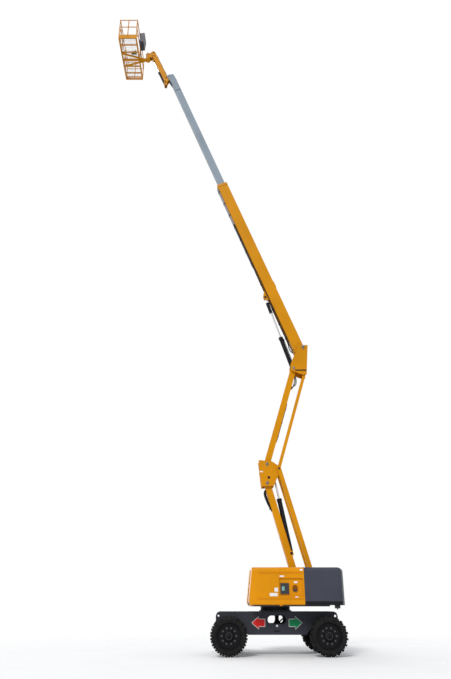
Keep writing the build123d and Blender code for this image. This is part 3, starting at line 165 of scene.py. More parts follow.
def rubber(name, colour):
    """Tyre rubber with dusty patches."""
    look = Look(name)
    dust = [channel * 1.7 + 0.006 for channel in colour]
    base = look.ramp(look.noise(9, 8), (0.4, (*colour, 1)), (0.8, (*dust, 1)))
    skin = {"Specular IOR Level": 0.14, "Normal": look.bump(look.noise(420, 4), 0.15, 0.002)}
    return look.shade(base, look.span(look.noise(30, 5), 0.66, 0.88), skin)


def plastic(name, colour, rough):
    """Moulded plastic with a fine grain."""
    look = Look(name)
    dark, light = shades(colour, 0.85, 1.2)
    base = look.ramp(look.noise(5, 6), (0.35, dark), (0.7, light))
    cells = look.add("TexVoronoi", {"Vector": look.coords, "Scale": 700}).outputs["Distance"]
    grain = {"Normal": look.bump(cells, 0.08, 0.001)}
    return look.shade(base, look.span(look.noise(40), rough * 0.85, rough * 1.15), grain)


def metal(name, colour, rough, scale=120, depth=0.05):
    """Bare or plated metal with a fine grain."""
    look = Look(name)
    dark, light = shades(colour, 0.86, 1.08)
    grain = look.noise(scale, 6)
    bare = {"Metallic": 1, "Normal": look.bump(grain, depth, 0.001)}
    base = look.ramp(grain, (0.3, dark), (0.7, light))
    return look.shade(base, look.span(look.noise(8, 5), rough * 0.7, rough * 1.4), bare)


def two_tone(name, near, far, along, middle, blend=0.004):
    """Dull paint that changes from one colour to the other across a plane of the object."""
    look = Look(name)
    place = look.add("VectorMath", {0: look.coords, 1: along}, "DOT_PRODUCT").outputs["Value"]
    tones = []
    for colour in (near, far):
        dark, light = shades(colour, 0.85, 1.1)
        tones.append(look.ramp(look.noise(4, 6), (0.3, dark), (0.7, light)))
    base = look.mix(look.span(place, 0, 1, (middle - blend, middle + blend)), *tones)
    dull = {"Specular IOR Level": 0.2, "Normal": look.bump(look.noise(260, 3), 0.03, 0.002)}
    return look.shade(base, look.span(look.noise(20, 5), 0.4, 0.6), dull)


def screen(name, colour):
    """Display glass with a faint lit field."""
    look = Look(name)
    dark, light = shades(colour, 0.6, 1.2)
    return look.shade(look.ramp(look.noise(12, 3), (0.35, dark), (0.65, light)), 0.12, {"Coat Weight": 0.6})


YELLOW = (0.64, 0.258, 0.0005)
HOOD_YELLOW = (0.675, 0.258, 0.0005)
MATERIALS = {
    "paint_yellow": paint("yellow_paint", YELLOW, 0.38, (0.74, 0.4, 0.05)),
    "hood_paint": paint("hood_paint", HOOD_YELLOW, 0.32, (0.78, 0.42, 0.06), 0.3, 0.08, 0.012),
    "paint_dark": paint("chassis_paint", (0.036, 0.038, 0.049), 0.42, (0.11, 0.115, 0.13)),
    "paint_weight": casting("weight_paint", (0.041, 0.044, 0.063)),
    "paint_grey": paint("boom_grey_paint", (0.268, 0.322, 0.372), 0.42, (0.42, 0.46, 0.5), 0.3),
    "black_steel": paint("black_paint", (0.01, 0.01, 0.013), 0.36, (0.08, 0.08, 0.085), 0.4),
    "rim_paint": paint("rim_paint", (0.005, 0.005, 0.006), 0.42, (0.06, 0.06, 0.065)),
    "rod_chrome": metal("rod_chrome", (0.72, 0.73, 0.75), 0.14, 90, 0.01),
    "tyre_rubber": rubber("tyre_rubber", (0.0065, 0.0063, 0.0063)),
    "black_plastic": plastic("black_plastic", (0.016, 0.016, 0.019), 0.5),
    "grey_plastic": plastic("grey_plastic", (0.04, 0.041, 0.058), 0.46),
    "engine_metal": casting("engine_casting", (0.075, 0.078, 0.083)),
    "mesh_steel": metal("mesh_steel", (0.47, 0.47, 0.46), 0.42, 80, 0.06),
    "pedal_paint": paint("pedal_paint", (0.02, 0.13, 0.115), 0.42, (0.2, 0.3, 0.28), 0.5, 0.1),
}
BOLT_STEEL = metal("bolt_steel", (0.24, 0.24, 0.25), 0.38)
NUT_STEEL = metal("nut_steel", (0.1, 0.1, 0.105), 0.42)
PIN_STEEL = metal("pin_steel", (0.155, 0.15, 0.14), 0.48)
HOSE_RUBBER = rubber("hose_rubber", (0.011, 0.011, 0.012))
ARROW_RED = paint("arrow_red", (0.62, 0.018, 0.016), 0.4, (0.7, 0.14, 0.12), 0.3, 0.1)
ARROW_GREEN = paint("arrow_green", (0.006, 0.215, 0.075), 0.4, (0.1, 0.34, 0.18), 0.3, 0.1)
WHITE_PLATE = paint("white_plate", (0.78, 0.78, 0.78), 0.45, (0.62, 0.62, 0.6), 0.3, 0.1)
# Brownish orange painted as the shade inside the latch's dish, for the floor of its well
WELL_SHADE_PAINT = paint("latch_well_shade", (0.225, 0.07, 0.001), 0.45, (0.4, 0.15, 0.01))
STOP_RED = plastic("stop_red", (0.55, 0.012, 0.01), 0.35)
DISPLAY = screen("display_glass", (0.16, 0.36, 0.33))

for row in frame["record"]["subparts"]:
    solid = nodes[row["node"]].data
    solid.materials.clear()
    solid.materials.append(MATERIALS[row["material_slot"]])


# Shapes

SHARP_ANGLE = radians(32)


def place_at(point, normal=UP):
    """A place whose own Z looks along a normal, with its Y as near as can be to straight up."""
    z = Vector(normal).normalized()
    x = Vector(UP).cross(z)
    if x.length < 1e-6:
        x = Vector((1, 0, 0))
    x.normalize()
    place = Matrix((x, z.cross(x), z)).transposed().to_4x4()
    place.translation = point
    return place


def on_side(side, x, y, z):
    """A place on the left or the right of the machine that looks outwards."""
    return place_at((x, side * y, z), (0, side, 0))


def arm_place(pivot, along):
    """The frame of an arm: X along it from its pin, Z square to it, Y across the machine."""
    x = along.normalized()
    y = Vector(OUT)
    place = Matrix((x, y, x.cross(y))).transposed().to_4x4()
    place.translation = pivot
    return place


def turns(count, start=0):
    """Angles around a full turn."""
    return [2 * pi * (k + start) / count for k in range(count)]


def spread(count, pitch):
    """Places side by side about the middle."""
    return [pitch * (k - (count - 1) / 2) for k in range(count)]


def finish(shape, name, body, slot="black_steel", look=None):
    """Turns a built shape into a piece that rides a body, in its slot's material or in another look."""
    bmesh.ops.recalc_face_normals(shape, faces=shape.faces)
    mesh = bpy.data.meshes.new(name)
    shape.to_mesh(mesh)
    shape.free()
    mesh.polygons.foreach_set("use_smooth", [True] * len(mesh.polygons))
    mesh.set_sharp_from_angle(angle=SHARP_ANGLE)
    mesh.materials.append(look or MATERIALS[slot])
    piece = bpy.data.objects.new(name, mesh)
    scene.collection.objects.link(piece)
    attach(piece, body)
    return piece


def loft(shape, outlines, place=HERE, closed=False):
    """Quads between a row of outlines, with the first and last filled unless the row closes on itself."""
    rings = [[shape.verts.new(place @ Vector(point)) for point in outline] for outline in outlines]
    count = len(rings[0])
    following = rings[1:] + rings[:1] if closed else rings[1:]
    for first, second in zip(rings, following):
        for j in range(count):
            k = (j + 1) % count
            shape.faces.new((first[j], first[k], second[k], second[j]))
    if not closed:
        shape.faces.new(rings[0])
        shape.faces.new(rings[-1])
    return rings


def soften(shape, verts, edge):
    """Rounds the edges between some vertices of a shape."""
    chosen = set(verts)
    edges = {line for vert in verts for line in vert.link_edges if line.other_vert(vert) in chosen}
    bmesh.ops.bevel(shape, geom=list(edges), offset=edge, segments=2, profile=0.6, affect="EDGES")


def block(shape, centre, size, place=HERE):
    """A plain block about a centre."""
    matrix = place @ Matrix.Translation(centre) @ Matrix.Diagonal((*size, 1))
    return bmesh.ops.create_cube(shape, size=1, matrix=matrix)["verts"]


def slab(shape, centre, size, edge=0.003, place=HERE):
    """A block about a centre, its edges rounded."""
    soften(shape, block(shape, centre, size, place), min(edge, 0.45 * min(size)))


def side_plate(shape, outline, y0, y1, edge, place=HERE):
    """A plate with an outline of (x, z) points, between two values of Y."""
    rings = loft(shape, [[(x, y, z) for x, z in outline] for y in (y0, y1)], place)
    soften(shape, rings[0] + rings[1], edge)


def bar_frame(shape, box, width, y, depth, edge, inset=0):
    """Four bars inside a rectangle of (x0, x1, z0, z1), the level ones shorter by an inset at each end."""
    x0, x1, z0, z1 = box
    for z in (z0 + width / 2, z1 - width / 2):
        slab(shape, ((x0 + x1) / 2, y, z), (x1 - x0 - 2 * inset, depth, width), edge)
    for x in (x0 + width / 2, x1 - width / 2):
        slab(shape, (x, y, (z0 + z1) / 2), (width, depth, z1 - z0), edge)


def turned(shape, profile, place, count=32):
    """A solid turned about a place's Z from (radius, height) points, with flat ends."""
    angles = turns(count)
    loft(shape, [[(r * cos(t), r * sin(t), h) for t in angles] for r, h in profile], place)


def ring_of(shape, loop, place, count=48):
    """A closed ring turned about a place's Z from a loop of (radius, height) points."""
    loft(shape, [[(r * cos(t), r * sin(t), h) for r, h in loop] for t in turns(count)], place, closed=True)


def bolt(shape, place, radius):
    """A hexagon head on a washer."""
    washer = 0.28 * radius
    turned(shape, [(1.9 * radius, 0), (1.9 * radius, washer)], place, 16)
    head = [(1.5 * radius, washer), (1.5 * radius, 1.2 * radius), (1.2 * radius, 1.45 * radius)]
    turned(shape, head, place, 6)


def bolt_row(shape, first, last, count, normal, radius, place=HERE):
    """Bolts in a row between two points."""
    facing = place.to_3x3() @ Vector(normal)
    for k in range(count):
        spot = Vector(first).lerp(Vector(last), k / (count - 1))
        bolt(shape, place_at(place @ spot, facing), radius)


def bolt_circle(shape, place, count, circle, height, radius, start=0):
    """Bolts in a circle about a place's Z."""
    for t in turns(count, start):
        spot = place @ Vector((circle * cos(t), circle * sin(t), height))
        bolt(shape, place_at(spot, place.col[2].to_3d()), radius)


def screw_rows(name, body, rows, place=HERE, slot="rod_chrome", look=BOLT_STEEL):
    """A piece of bolts in rows of (first, last, count, normal, radius), with their mirror images."""
    shape = bmesh.new()
    for side in SIDES:
        for *ends, count, normal, radius in rows:
            first, last, facing = [(x, side * y, z) for x, y, z in (*ends, normal)]
            bolt_row(shape, first, last, count, facing, radius, place)
    finish(shape, name, body, slot, look)


def smooth_path(points, steps):
    """Points of a smooth curve through the given ones."""
    knots = [Vector(point) for point in points]
    knots = [2 * knots[0] - knots[1]] + knots + [2 * knots[-1] - knots[-2]]
    path = []
    for a, b, c, d in zip(knots, knots[1:], knots[2:], knots[3:]):
        curve = 2 * a - 5 * b + 4 * c - d
        twist = 3 * b - a - 3 * c + d
        for k in range(steps):
            t = k / steps
            path.append(0.5 * (2 * b + (c - a) * t + curve * t ** 2 + twist * t ** 3))
    path.append(knots[-2])
    return path


def hose(shape, points, radius, place=HERE, sides=10, steps=6):
    """A round hose along a smooth path."""
    path = [place @ point for point in smooth_path(points, steps)]
    outlines = []
    side = (path[1] - path[0]).normalized().orthogonal()
    for k, point in enumerate(path):
        ahead = (path[min(k + 1, len(path) - 1)] - path[max(k - 1, 0)]).normalized()
        side = (side - ahead * side.dot(ahead)).normalized()
        other = ahead.cross(side)
        outlines.append([point + radius * (cos(t) * side + sin(t) * other) for t in turns(sides)])
    loft(shape, outlines)


def hoses(name, body, paths, radius, place=HERE):
    """A piece of several hoses clamped to one body."""
    shape = bmesh.new()
    for points in paths:
        hose(shape, points, radius, place)
    finish(shape, name, body, "black_plastic", HOSE_RUBBER)


def bank(line, pitch, lifts):
    """Paths side by side along one line of (along, height, share of the path's own lift) points."""
    paths = []
    for y, lift in zip(spread(len(lifts), pitch), lifts):
        paths.append([(x, y, z + share * lift) for x, z, share in line])
    return paths


def fan(line, offsets):
    """Paths along one line of (along, share of the path's own offset across, height) points."""
    return [[(x, share * y, z) for x, share, z in line] for y in offsets]


def clamps(name, body, spots, up, size, place=HERE):
    """Saddle clamps over hoses: (x, y, z) middles of their feet, with a bolt at each end."""
    saddles = bmesh.new()
    across, rise = size[1], up * size[2]
    facing = place.to_3x3() @ Vector((0, 0, up))
    for x, y, z in spots:
        slab(saddles, (x, y, z + rise / 2), size, 0.004, place)
        for end in (-0.42 * across, 0.42 * across):
            bolt(saddles, place_at(place @ Vector((x, y + end, z + rise)), facing), 0.006)
    finish(saddles, name, body)


def pin_caps(name, body, pins_at, slot="black_steel", look=None):
    """Pin heads with keeper plates on both sides: (point, |y| of the plate's face, radius, height)."""
    caps = bmesh.new()
    screws = bmesh.new()
    for point, face, radius, height in pins_at:
        keeper = 0.4 * height
        collar = [(1.25 * radius, 0), (1.25 * radius, keeper), (1.15 * radius, 0.55 * height)]
        head = [(radius, 0.55 * height), (radius, 0.9 * height), (0.88 * radius, height)]
        for side in SIDES:
            place = on_side(side, point.x, face, point.z)
            turned(caps, collar + head, place, 36)
            slab(caps, (0, -1.7 * radius, keeper / 2), (0.7 * radius, 1.2 * radius, keeper), place=place)
            for spot, size in (((0, -1.95 * radius, keeper), min(0.009, 0.35 * height)),
                               ((0, 0, height), min(0.01, 0.3 * height))):
                bolt(screws, place_at(place @ Vector(spot), (0, side, 0)), size)
    finish(caps, name + "_caps", body, slot, look)
    finish(screws, name + "_screws", body, "rod_chrome", BOLT_STEEL)


def side_caps(name, body, spot, profile, count=28, place=HERE, slot="black_steel", look=None):
    """A turned cap at the same spot on both sides of the machine or of an arm."""
    shape = bmesh.new()
    for side in SIDES:
        turned(shape, profile, place @ on_side(side, *spot), count)
    finish(shape, name, body, slot, look)


def side_slabs(shape, centre, size, edge, place=HERE):
    """A slab and its mirror image on the other side."""
    x, y, z = centre
    for side in SIDES:
        slab(shape, (x, side * y, z), size, edge, place)


def oval(half_length, radius, middle, count=12):
    """Outline of an oval with round ends."""
    points = []
    for centre, start in ((half_length - radius, -pi / 2), (radius - half_length, pi / 2)):
        for k in range(count + 1):
            turn = start + pi * k / count
            points.append((centre + radius * cos(turn), middle + radius * sin(turn)))
    return points


# Places of the linkage, from the joints

def pin(name):
    return Vector(joints[name]["pos_m"])


def axis(name):
    return Vector(joints[name]["axis"])


BASE = pin("riser_lift")
KNEE_LOW = pin("knee_level")
KNEE_HIGH = pin("upper_riser_lift")
KNEE_TIE = pin("upper_tie_swing")
TIE_BASE = pin("lower_tie_swing")
TOP = pin("upright_level")
BOOM = pin("boom_lift")
HEAD = pin("head_level")
JIB_BASE = pin("jib_lift")
JIB_TOP = pin("basket_level")
LINK_BASE = pin("jib_link_swing")
LINK_TOP = JIB_TOP + LINK_BASE - JIB_BASE
JIB_FOOT = pin("jib_barrel_swing")
FLOOR = pin("basket_rotate")
LOWER_ARM = arm_place(BASE, KNEE_LOW - BASE)
UPPER_ARM = arm_place(KNEE_HIGH, TOP - KNEE_HIGH)
BOOM_ARM = arm_place(BOOM, axis("telescope"))
JIB_ARM = arm_place(JIB_BASE, JIB_TOP - JIB_BASE)
BOOM_CYLINDER = arm_place(TOP, axis("boom_rod_stroke"))


# Wheels

CORNERS = {"fl": (1, 1), "fr": (1, -1), "rl": (-1, 1), "rr": (-1, -1)}
AXLE_X, WHEEL_Y, HUB_Z = pin("wheel_spin_fl")
RIM_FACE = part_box("rim_fl")[1].y
DISC_FACE = 1.127
HUB_FACE = 1.178
NUT_COUNT = 10
NUT_CIRCLE = 0.205
COVER_CIRCLE = 0.088
VALVE_RADIUS = 0.3
KINGPIN_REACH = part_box("knuckle_fl")[1].z - HUB_Z
STEER_ARM = 0.19
STEER_ARM_DROP = 0.018
SEAT_PLATE = 0.0248
SEAT_BOLT_X = 0.11
SEAT_BOLT_Y = 0.18
TREAD_RADIUS = 0.5275
LUGS = 40
LUG_FLARE = 0.003
LUG_TUCK = 0.16
# Half of the tyre's section: radius and distance from its middle
CARCASS = [(0.3725, 0.172), (0.379, 0.188), (0.396, 0.199), (0.424, 0.2045), (0.45, 0.199), (0.472, 0.181),
           (0.487, 0.158), (0.4935, 0.13), (0.495, 0.06)]
# Along a lug: distance from the tyre's middle, radius of its top and of its foot, half its width
LUG_STATIONS = [(-0.03, 0.516, 0.484, 0.022), (-0.021, TREAD_RADIUS, 0.484, 0.0255),
                (0.163, TREAD_RADIUS, 0.478, 0.0275), (0.176, 0.519, 0.468, 0.0275),
                (0.2045, 0.468, 0.44, 0.0255), (0.2, 0.438, 0.43, 0.022)]


def tyre(corner, sign, side):
    """Tyre with rounded shoulders and bars that come from each side of the tread in turn."""
    shape = bmesh.new()
    centre = Vector((sign * AXLE_X, side * WHEEL_Y, HUB_Z))
    loop = CARCASS + [(radius, -y) for radius, y in reversed(CARCASS)]
    ring_of(shape, loop, place_at(centre, (0, side, 0)), 88)
    for k, turn in enumerate(turns(LUGS)):
        out = Vector((cos(turn), 0, -sin(turn)))
        around = Vector((-sin(turn), 0, -cos(turn)))
        hand = Vector((0, side if k % 2 else -side, 0))
        outlines = []
        for y, top, base, width in LUG_STATIONS:
            crest = centre + y * hand + top * out
            foot = centre + (y - 0.5 * max(0, y - LUG_TUCK)) * hand + base * out
            half = width * around
            flared = (width + LUG_FLARE) * around
            outlines.append([foot - flared, crest - half, crest + half, foot + flared])
        loft(shape, outlines)
    piece = finish(shape, "tread_" + corner, "wheel_" + corner, "tyre_rubber")
    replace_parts(piece, "tyre_" + corner)


def rim_details(corner, sign, side):
    """Bead flange, wheel nuts, valve and the screws of the hub's cover."""
    rim, disc, hub = [on_side(side, sign * AXLE_X, y, HUB_Z) for y in (RIM_FACE, DISC_FACE, HUB_FACE)]
    shape = bmesh.new()
    ring_of(shape, [(0.346, -0.014), (0.346, 0.004), (0.354, 0.011), (0.372, 0.011), (0.384, 0.004),
                    (0.384, -0.003), (0.372, -0.01)], rim, 72)
    ring_of(shape, [(0.262, -0.003), (0.268, 0.006), (0.318, 0.006), (0.326, -0.003)], disc, 64)
    turned(shape, [(0.06, -0.002), (0.06, 0.006), (0.05, 0.011), (0.022, 0.012)], hub)
    finish(shape, "rim_flange_" + corner, "wheel_" + corner, "rim_paint")
    nuts = bmesh.new()
    bolt_circle(nuts, disc, NUT_COUNT, NUT_CIRCLE, 0, 0.014)
    bolt_circle(nuts, hub, NUT_COUNT, COVER_CIRCLE, 0, 0.006)
    valve = disc @ Matrix.Translation((VALVE_RADIUS, 0, 0))
    turned(nuts, [(0.006, -0.007), (0.006, 0.038), (0.004, 0.045)], valve, 12)
    finish(nuts, "wheel_nuts_" + corner, "wheel_" + corner, "rod_chrome", NUT_STEEL)


def knuckle_details(corner, sign):
    """Kingpin covers and the nut of the tie rod's joint."""
    shape = bmesh.new()
    king = pin("steer_" + corner)
    for up in SIDES:
        place = place_at(king + Vector((0, 0, up * KINGPIN_REACH)), (0, 0, up))
        turned(shape, [(0.029, 0), (0.029, 0.006), (0.022, 0.01), (0.008, 0.011)], place, 24)
    bolt(shape, place_at(king - Vector((sign * STEER_ARM, 0, STEER_ARM_DROP))), 0.012)
    finish(shape, "kingpin_covers_" + corner, "knuckle_" + corner, "rod_chrome", BOLT_STEEL)


def axle_details(name, sign):
    """Cover of the differential, its screws and the bolts of the axle's seat."""
    low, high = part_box(name)
    middle = sign * AXLE_X
    face = place_at((middle - sign * (high.x - low.x) / 2, 0, HUB_Z), (-sign, 0, 0))
    cover = bmesh.new()
    turned(cover, [(0.15, 0), (0.15, 0.01), (0.12, 0.016), (0.075, 0.045), (0.045, 0.075), (0.045, 0.105),
                   (0.036, 0.112)], face, 40)
    finish(cover, name + "_cover", "chassis")
    screws = bmesh.new()
    bolt_circle(screws, face, 12, 0.135, 0.012, 0.006)
    seat = high.z + SEAT_PLATE
    for y in (-SEAT_BOLT_Y, SEAT_BOLT_Y):
        bolt_row(screws, (middle - SEAT_BOLT_X, y, seat), (middle + SEAT_BOLT_X, y, seat), 2, UP, 0.012)
    finish(screws, name + "_screws", "chassis", "rod_chrome", BOLT_STEEL)


# Chassis

SIDE_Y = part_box("chassis_frame")[1].y
CHASSIS_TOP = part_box("chassis_frame")[1].z
SWIVEL_X = -0.035
ARROW_Z = 0.848
WINDOW_HALF = 0.27
WINDOW_ROUND = 0.11
WINDOW_Z = 0.93
EYE_X = 1.712
EYE_Z = 1.03
DOT_Z = 0.77
SEAT_SCREW_Z = 0.745
SLOT_Z = 0.63
SLOT_COVER = 0.006
SLEW_INNER = 0.42
TEETH = 96
TOOTH_LOW = 0.032
TOOTH_HIGH = 0.09


def arrow(sign, tail, tip, shaft, head, neck):
    """Outline of an arrow to the front or the rear, from its ends, half its shaft and head, and its neck."""
    root = tip - neck
    half = [(tail, shaft), (root, shaft), (root, head)]
    outline = [(x, -z) for x, z in half] + [(tip, 0)] + half[::-1]
    return [(sign * x, ARROW_Z + z) for x, z in outline]


def direction_arrows():
    """A red arrow to the front and a green one to the rear on both side plates, each on a white border."""
    for name, sign, look in (("front", 1, ARROW_RED), ("rear", -1, ARROW_GREEN)):
        field = bmesh.new()
        border = bmesh.new()
        for side in SIDES:
            outline = arrow(sign, 0.343, 0.745, 0.106, 0.175, 0.214)
            side_plate(border, outline, side * SIDE_Y, side * (SIDE_Y + 0.0016), 0.0004)
            outline = arrow(sign, 0.355, 0.728, 0.094, 0.157, 0.192)
            side_plate(field, outline, side * (SIDE_Y + 0.001), side * (SIDE_Y + 0.003), 0.0006)
        finish(field, "arrow_" + name, "chassis", "paint_dark", look)
        finish(border, "arrow_border_" + name, "chassis", "paint_dark", WHITE_PLATE)


def window_lips():
    """Rolled lips around the oval windows and rings around the tie-down eyes."""
    lip = [(-0.001, -0.02), (-0.001, 0.005), (0.004, 0.008), (0.014, 0.008), (0.019, 0.004), (0.019, -0.004)]
    ring = [(0.033, -0.01), (0.033, 0.006), (0.038, 0.009), (0.05, 0.009), (0.054, 0.004), (0.054, -0.004)]
    shape = bmesh.new()
    for side in SIDES:
        outlines = []
        for grow, out in lip:
            outline = oval(WINDOW_HALF + grow, WINDOW_ROUND + grow, WINDOW_Z)
            outlines.append([(x, side * (SIDE_Y + out), z) for x, z in outline])
        loft(shape, outlines, closed=True)
        for x in (-EYE_X, EYE_X):
            ring_of(shape, ring, on_side(side, x, SIDE_Y, EYE_Z), 40)
    finish(shape, "window_lips", "chassis", "paint_dark")


def chassis_hoses():
    """Swivel under the slewing ring, hoses from it to both axles, and two that rise to the frame's roof."""
    swivel = bmesh.new()
    turned(swivel, [(0.13, 1.126), (0.13, 1.112), (0.085, 1.108), (0.075, 1.03), (0.062, 1.016),
                    (0.02, 1.014)], place_at((SWIVEL_X, 0, 0)), 40)
    finish(swivel, "chassis_swivel", "chassis")
    paths = []
    for sign in SIDES:
        for k, y in enumerate(spread(4, 0.044)):
            x = SWIVEL_X + sign * (0.012 + 0.012 * k)
            drop = [(x, y, 1.03), (x, y, 0.93), (x + sign * 0.014 * k, 1.2 * y, 0.84)]
            bend = [(sign * (0.14 + 0.03 * k), 1.6 * y, 0.7), (sign * 0.36, 2.2 * y, 0.592)]
            run = [(sign * 0.6, 2.2 * y, 0.574), (sign * 0.818, 2.2 * y, 0.574)]
            paths.append(drop + bend + run)
    rise = [(-0.085, 1, 0.64), (-0.105, 1, 0.82), (-0.185, 1.2, 0.925), (-0.335, 1.5, 1.005),
            (-0.555, 1.8, 1.085), (-0.655, 1.9, 1.12)]
    hoses("chassis_hoses", "chassis", paths + fan(rise, (-0.08, 0.095)), 0.014)


def chassis_details():
    """Screws of the axle seats, the blank dots and the slot covers."""
    rows = []
    for sign in SIDES:
        ends = [(sign * x, SIDE_Y, SEAT_SCREW_Z) for x in (1.27, 1.54)]
        rows.append((*ends, 4, OUT, 0.013))
    screw_rows("chassis_screws", "chassis", rows, slot="paint_dark", look=None)
    dot = [(0.03, 0), (0.03, 0.0015), (0.028, 0.002)]
    side_caps("chassis_dots", "chassis", (0, SIDE_Y, DOT_Z), dot, 32, slot="paint_dark", look=WHITE_PLATE)
    slots = bmesh.new()
    side_slabs(slots, (0, SIDE_Y + SLOT_COVER / 2, SLOT_Z), (0.19, SLOT_COVER, 0.036), 0.003)
    for side in SIDES:
        for x in (-0.075, 0.075):
            bolt(slots, on_side(side, x, SIDE_Y + SLOT_COVER, SLOT_Z), 0.006)
    finish(slots, "chassis_slot_covers", "chassis")


def slew_details():
    """Flanges, teeth and screws of the slewing ring."""
    foot = place_at((0, 0, CHASSIS_TOP))
    flange = bmesh.new()
    ring_of(flange, [(SLEW_INNER, 0), (0.485, 0), (0.485, 0.018), (0.476, 0.024), (SLEW_INNER, 0.024)],
            foot, 96)
    ring_of(flange, [(SLEW_INNER, 0.1), (0.442, 0.1), (0.447, 0.106), (0.447, 0.126), (0.44, 0.13),
                     (SLEW_INNER, 0.13)], foot, 96)
    tooth = []
    for radius, width in ((0.422, 0.0085), (0.44, 0.0045)):
        low, high = [[(radius, y, z) for y in (-width, width)] for z in (TOOTH_LOW, TOOTH_HIGH)]
        tooth.append(low + high[::-1])
    for turn in turns(TEETH):
        loft(flange, tooth, foot @ Matrix.Rotation(turn, 4, "Z"))
    finish(flange, "slew_flange", "chassis")
    screws = bmesh.new()
    bolt_circle(screws, foot, 36, 0.463, 0.024, 0.008)
    finish(screws, "slew_screws", "chassis", "rod_chrome", BOLT_STEEL)


# Turret

HOOD_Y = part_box("near_hood")[1].y
RECESS_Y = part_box("control_box")[0].y
PANEL_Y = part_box("control_box")[1].y
WEIGHT_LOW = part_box("counterweight")[0].z
DECK_TOP = 1.325
MAST_FACE = 0.35
RIB_REAR = -0.752
BEAD = 0.0085
RECESS = (-0.744, -0.036, 1.546, 2.044)
LATCH_X = -0.504
LATCH_Z = 1.762
CATCH_X = -0.086
CATCH_Z = 1.324
# Blank plates of the near hood: x, z, width, height and the face behind them
HOOD_PLATES = [(-0.13, 2.085, 0.13, 0.042, HOOD_Y), (-0.53, 1.925, 0.095, 0.05, RECESS_Y),
               (-0.54, 1.531, 0.09, 0.028, HOOD_Y), (-0.7, 2.258, 0.085, 0.045, HOOD_Y),
               (0.042, 1.725, 0.105, 0.105, HOOD_Y), (0.12, 1.595, 0.23, 0.085, HOOD_Y)]
GLASS_X = -0.159
GLASS_Z = 1.759
GLASS_WIDTH = 0.078
GLASS_HEIGHT = 0.118
GLASS_RIM = 0.006
KNOB_Z = 1.658
LOUVRE_LENGTH = 0.5
LOUVRE_PITCH = 0.038
BAND_TOP = 1.42
BAND_GROW = 0.004
SOCKET_X = -1.71


def hood_ribs(body, side):
    """The two long grooves in a hood's side, each between a pair of beads."""
    shape = bmesh.new()
    for middle, front in ((2.176, 0.545), (1.492, 0.6)):
        stations = ((RIB_REAR, 0.3), (RIB_REAR + 0.014, 1), (front - 0.02, 1), (front, 0.3))
        for low in (middle - 0.024, middle + 0.007):
            profile = [(low, -0.006), (low + 0.003, BEAD), (low + 0.014, BEAD), (low + 0.017, -0.006)]
            outlines = []
            for x, scale in stations:
                outlines.append([(x, side * (HOOD_Y + min(out, out * scale)), z) for z, out in profile])
            loft(shape, outlines)
    finish(shape, body + "_ribs", body, "hood_paint")


def hood_fittings():
    """Bead around the recess of the near hood, and its catch."""
    bead = bmesh.new()
    bar_frame(bead, RECESS, 0.014, HOOD_Y - 0.002, 0.016, 0.004, 0.002)
    finish(bead, "recess_bead", "near_hood", "hood_paint")
    catch = bmesh.new()
    slab(catch, (CATCH_X, HOOD_Y - 0.038, CATCH_Z), (0.084, 0.044, 0.056), 0.008)
    slab(catch, (CATCH_X, HOOD_Y - 0.017, CATCH_Z), (0.052, 0.026, 0.028), 0.007)
    finish(catch, "hood_catch", "near_hood", "paint_yellow")


def hood_latch():
    """Dish, well and grip of the near hood's latch, the well's floor in a brownish orange painted as shade, and
    the hood's blank plates.
    """
    rim = ((0, -0.002), (0, 0.018), (-0.006, 0.022), (-0.014, 0.018), (-0.016, 0.001))
    bottom = ((-0.013, 0.0008), (-0.014, 0.0014), (-0.03, 0.002), (-0.07, 0.0022))
    # The well's floor is painted brownish orange as the shade inside the dish.
    for name, steps, look in (("latch_dish", rim, None), ("latch_well_shade", bottom, WELL_SHADE_PAINT)):
        shape = bmesh.new()
        outlines = []
        for grow, out in steps:
            outline = oval(0.105 + grow, 0.092 + grow, 0)
            outlines.append([(LATCH_X + x, RECESS_Y + out, LATCH_Z + z) for z, x in outline])
        loft(shape, outlines)
        finish(shape, name, "near_hood", "hood_paint", look)
    grip = bmesh.new()
    slab(grip, (LATCH_X, RECESS_Y + 0.0155, LATCH_Z - 0.058), (0.12, 0.029, 0.056), 0.012)
    finish(grip, "hood_latch", "near_hood", "black_plastic")
    plates = bmesh.new()
    for x, z, width, height, face in HOOD_PLATES:
        slab(plates, (x, face + 0.00075, z), (width, 0.0035, height), 0.0009)
    finish(plates, "hood_plates", "near_hood", "hood_paint", WHITE_PLATE)


def ground_controls():
    """Bezel, keys, display and knob of the control box."""
    low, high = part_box("control_box")
    bezel = bmesh.new()
    panel = (low.x + 0.008, high.x - 0.008, low.z + 0.007, high.z - 0.007)
    bar_frame(bezel, panel, 0.009, PANEL_Y + 0.002, 0.008, 0.002)
    wide, tall = GLASS_WIDTH / 2 + GLASS_RIM, GLASS_HEIGHT / 2 + GLASS_RIM
    window = (GLASS_X - wide, GLASS_X + wide, GLASS_Z - tall, GLASS_Z + tall)
    bar_frame(bezel, window, GLASS_RIM, PANEL_Y + 0.002, 0.008, 0.002, GLASS_RIM)
    for row in range(3):
        for column in range(2):
            spot = on_side(1, -0.292 + 0.026 * column, PANEL_Y, 1.85 - 0.045 * row)
            turned(bezel, [(0.009, 0), (0.009, 0.005), (0.006, 0.008)], spot, 20)
    turned(bezel, [(0.014, 0), (0.014, 0.006), (0.01, 0.009)], on_side(1, -0.215, PANEL_Y, KNOB_Z), 24)
    finish(bezel, "ground_controls", "near_hood", "grey_plastic")
    glass = bmesh.new()
    slab(glass, (GLASS_X, PANEL_Y + 0.0005, GLASS_Z), (GLASS_WIDTH, 0.003, GLASS_HEIGHT), 0.001)
    finish(glass, "ground_display", "near_hood", "black_plastic", DISPLAY)
    knob = bmesh.new()
    turned(knob, [(0.012, 0), (0.012, 0.006), (0.021, 0.009), (0.021, 0.015), (0.014, 0.019)],
           on_side(1, -0.14, PANEL_Y, KNOB_Z), 28)
    finish(knob, "ground_knob", "near_hood", "black_plastic")


